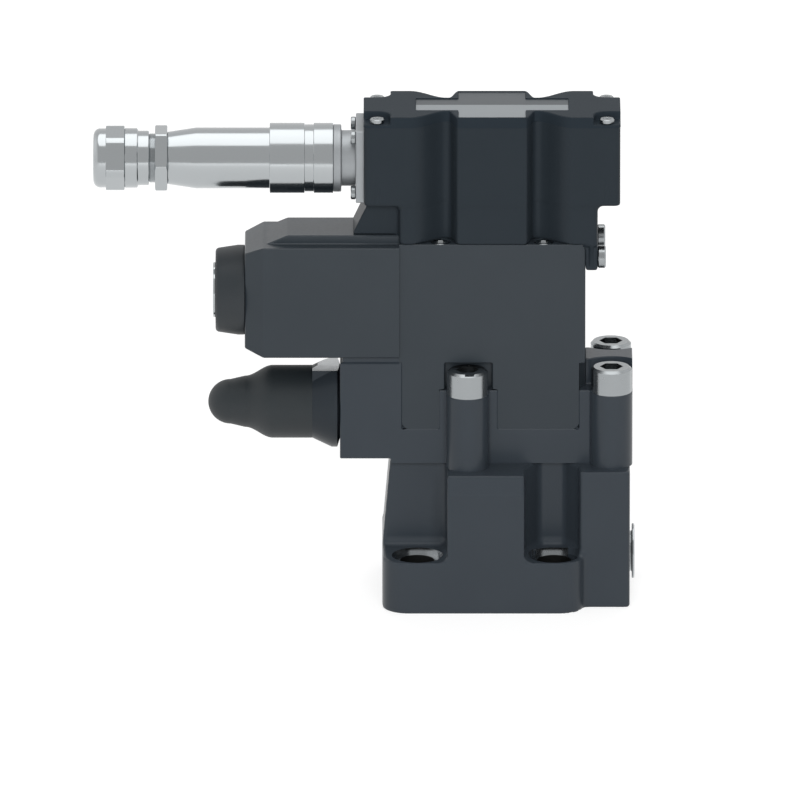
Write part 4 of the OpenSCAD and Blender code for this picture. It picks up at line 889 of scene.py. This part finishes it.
def entry_tube():
    """Turned tube: neck, grooved collar, long taper and the thread's first turns at its end."""
    low, high = box_mm("entry_tube")
    neck, end = -59.95, low.x
    bore_r, neck_r, collar_r, groove_r, barrel_r, taper_r = 6.5, 9, 13.85, 13.25, 12, 10.35
    crest_r, root_r, pitch = 9.85, 9.5, 0.45
    profile = [(high.x, bore_r), (high.x, neck_r), (neck, neck_r), (neck, collar_r),
               (neck - 7.6, collar_r), (neck - 7.6, groove_r), (neck - 11.2, groove_r),
               (neck - 11.2, collar_r), (neck - 24.9, collar_r), (neck - 24.9, barrel_r),
               (end + 18.5, barrel_r), (end + 7.7, taper_r), (end + 7.3, taper_r), (end + 7.3, crest_r)]
    for ridge in range(5):
        start = end + 2.4 - ridge * pitch
        profile += [(start, crest_r), (start - 0.22, root_r)]
    profile += [(end, root_r), (end, bore_r)]
    tube = turned(profile, (0, ENTRY_Z), edge=0.18, closed=True)
    show(new_object("entry_tube_turned", tube), ["entry_tube"])


# Pressure limiter

def adjuster_collar():
    """Collar with a cone, a spigot for the boot and a bare wrench flat on top."""
    shoulder, face = -68.2, -57.3
    low, high = box_mm("adjuster_collar")
    spigot_r, small_r, wide_r, back_r = 11.8, 14.35, 17.9, 9.95
    screw_r, spring_r, spring_x = 4.05, 7.1, low.x + 7
    rim_x = face - 1.1
    profile = [(low.x, screw_r), (low.x, spigot_r), (shoulder, spigot_r), (shoulder, small_r),
               (shoulder + 7.6, wide_r), (rim_x, wide_r), (face, small_r), (face, back_r),
               (high.x, back_r), (high.x, spring_r), (spring_x, spring_r), (spring_x, screw_r)]
    thing = new_object("collar_turned", turned(profile, (0, LIMITER_Z), closed=True))
    half, flat_z = 9.3, LIMITER_Z + 15.3
    flat = bmesh.new()
    add_prism(flat, [(shoulder, -half), (rim_x, -half), (rim_x, half), (shoulder + 7.5, half),
                     (shoulder, -half + 3.75)], LIMITER_Z + 9, flat_z)
    combined(thing, flat, "UNION")
    cut(thing, add_box, (shoulder - 1, face + 1), (-20, 20), (flat_z, LIMITER_Z + 20))
    show(thing, ["adjuster_collar"])
    face_bare_or_shaded(thing, lambda side: side.normal.z > 0.98 and side.center.z > flat_z - 0.3)


def limiter_boot():
    """Rubber boot: barrel, waist and round tip, open where it sits on the collar's spigot."""
    mouth, stop, barrel, waist, tip = -68.22, -80.3, -83.7, -94.8, -109.2
    tip_r, waist_r, barrel_r, spigot_r, wall = 8.8, 10.1, 14.35, 12.1, 2.2

    def skin(inset):
        """The boot's outline from tip to barrel, or its inside when set in by the wall."""
        steps = 24
        dome = [(tip + tip_r - (tip_r - inset) * math.cos(a), (tip_r - inset) * math.sin(a))
                for a in (math.radians(90 * step / steps) for step in range(steps + 1))]
        bend = [(waist + t * (barrel - waist),
                 (waist_r + barrel_r) / 2 - (barrel_r - waist_r) / 2 * math.cos(math.pi * t) - inset)
                for t in (step / steps for step in range(steps + 1))]
        return dome + bend

    outside = skin(0) + [(mouth, barrel_r), (mouth, spigot_r), (stop, spigot_r)]
    inside = [(stop, barrel_r - wall)] + skin(wall)[::-1]
    shape = turned(outside + inside, (0, LIMITER_Z), steps=128)
    show(new_object("boot_moulded", shape), ["limiter_boot"], sharp=40, body="limiter_boot")


add_camera()
finish_nodes()
main_body()
cover_body()
pilot_block()
solenoid_housing()
solenoid_end_cap()
electronics_housing()
housing_lid()
nameplate()
entry_nuts()
entry_tube()
adjuster_collar()
limiter_boot()

# CAD pieces that only need their edges broken, with the chamfer's width
EDGE_WIDTHS = {
    "gallery_plug": 0.3, "cap_plug": 0.25, "lid_screws": 0.3, "housing_screws": 0.25,
    "side_screws": 0.5, "flange_screws": 0.35, "entry_flange": 0.3, "gland_body": 0.3,
}
OTHER_FINISH = {"entry_flange": "stainless_plate"}
BOLT_TOP = box_mm("cover_bolts")[1].z
KEY_R = 6


def on_bolt_rim(edge):
    """A test for the outer edges of the highest faces of the cover's bolts, outside the key's hole."""
    return all(corner.co.z > BOLT_TOP - 0.05 and not in_key_hole(corner.co) for corner in edge.verts)


def in_key_hole(place):
    return any(math.hypot(place.x - x, place.y - y) <= KEY_R for x, y in COVER_SCREWS)


for node_name, edge_width in EDGE_WIDTHS.items():
    eased(node_name, edge_width, finish=OTHER_FINISH.get(node_name))
eased("cover_bolts", 1.0, keep=on_bolt_rim)


# Studio: levels of the room, where 1 is white

ROOM_FRONT = 0.7
ROOM_BACK = 0.85
WALLS = 0.3
SOFTBOX = 1.4
SOFTBOX_LEAN = math.radians(3.5)
# How much of the room lights the pieces: the rest is there for reflections alone
ROOM_SHARE = 0.28
# What the floor needs above its own shade to show white
FLOOR_GLOW = 0.74
FLOOR_HALF = 4
FLOOR_DROP = 0.0005


def add_floor():
    """Pale floor that shows white to the eye and in metal, and keeps the soft shadow."""
    shape = bmesh.new()
    bmesh.ops.create_grid(shape, x_segments=1, y_segments=1, size=FLOOR_HALF)
    mesh = bpy.data.meshes.new("floor")
    shape.to_mesh(mesh)
    shape.free()
    floor = bpy.data.objects.new("floor", mesh)
    bpy.context.scene.collection.objects.link(floor)
    floor.location.z = -FLOOR_DROP
    finish = bpy.data.materials.new("pale floor")
    finish.use_nodes = True
    tree = finish.node_tree
    tree.nodes.clear()
    paper = add_node(tree, "ShaderNodeBsdfDiffuse", Color=(0.5, 0.5, 0.5, 1))
    rays = add_node(tree, "ShaderNodeLightPath").outputs
    seen = add_node(tree, "ShaderNodeMath", {"operation": "MAXIMUM"}, _0=rays["Is Camera Ray"],
                    _1=rays["Is Glossy Ray"])
    seen = add_node(tree, "ShaderNodeMath", {"operation": "MAXIMUM"}, _0=seen.outputs["Value"],
                    _1=rays["Is Transmission Ray"])
    lift = add_node(tree, "ShaderNodeMath", {"operation": "MULTIPLY"}, _0=seen.outputs["Value"],
                    _1=FLOOR_GLOW)
    glow = add_node(tree, "ShaderNodeEmission", Color=(1, 1, 1, 1), Strength=lift.outputs["Value"])
    both = add_node(tree, "ShaderNodeAddShader", _0=paper.outputs["BSDF"], _1=glow.outputs["Emission"])
    add_node(tree, "ShaderNodeOutputMaterial", Surface=both.outputs["Shader"])
    mesh.materials.append(finish)


def add_light(name, place, size, power, aim=(0, 0, 0.1)):
    """Soft lamp that lights the pieces and leaves no hot spot in the metal."""
    lamp = bpy.data.lights.new(name, "AREA")
    lamp.shape = "RECTANGLE"
    lamp.size, lamp.size_y = size
    lamp.energy = power
    thing = bpy.data.objects.new(name, lamp)
    bpy.context.scene.collection.objects.link(thing)
    thing.location = place
    thing.rotation_euler = (Vector(aim) - Vector(place)).to_track_quat("-Z", "Y").to_euler()
    thing.visible_glossy = False


def add_world():
    """Grey room with a white softbox overhead and pale walls to both sides."""
    world = bpy.data.worlds.new("studio")
    bpy.context.scene.world = world
    world.use_nodes = True
    tree = world.node_tree
    tree.nodes.clear()
    direction = add_node(tree, "ShaderNodeTexCoord").outputs["Generated"]
    facing = add_node(tree, "ShaderNodeVectorMath", {"operation": "DOT_PRODUCT"}, _0=direction,
                      _1=(0, math.sin(SOFTBOX_LEAN), math.cos(SOFTBOX_LEAN)))
    softbox = add_node(tree, "ShaderNodeMapRange", {"interpolation_type": "SMOOTHSTEP"},
                       Value=facing.outputs["Value"], From_Min=0.855, From_Max=0.885, To_Min=0,
                       To_Max=SOFTBOX)
    axes = add_node(tree, "ShaderNodeSeparateXYZ", Vector=direction).outputs
    room = add_node(tree, "ShaderNodeMapRange", {"interpolation_type": "SMOOTHSTEP"},
                    Value=axes["Y"], From_Min=-0.3, From_Max=0.3, To_Min=ROOM_FRONT, To_Max=ROOM_BACK)
    across = add_node(tree, "ShaderNodeMath", {"operation": "ABSOLUTE"}, _0=axes["X"])
    walls = add_node(tree, "ShaderNodeMapRange", {"interpolation_type": "SMOOTHSTEP"},
                     Value=across.outputs["Value"], From_Min=0.5, From_Max=0.85, To_Min=0, To_Max=WALLS)
    level = add_node(tree, "ShaderNodeMath", {"operation": "ADD"}, _0=softbox.outputs["Result"],
                     _1=walls.outputs["Result"])
    level = add_node(tree, "ShaderNodeMath", {"operation": "ADD"}, _0=level.outputs["Value"],
                     _1=room.outputs["Result"])
    rays = add_node(tree, "ShaderNodeLightPath").outputs
    share = add_node(tree, "ShaderNodeMapRange", Value=rays["Is Diffuse Ray"], To_Min=1,
                     To_Max=ROOM_SHARE)
    level = add_node(tree, "ShaderNodeMath", {"operation": "MULTIPLY"}, _0=level.outputs["Value"],
                     _1=share.outputs["Result"])
    sky = add_node(tree, "ShaderNodeBackground", Color=(1, 1, 1, 1), Strength=level.outputs["Value"])
    add_node(tree, "ShaderNodeOutputWorld", Surface=sky.outputs["Background"])


add_floor()
add_world()
add_light("front bank", (0, -1.9, 0.8), (1.1, 0.9), 26)
add_light("back bank", (0, 1.6, 0.95), (2.4, 1.2), 12)
bpy.context.scene.view_settings.view_transform = "Standard"
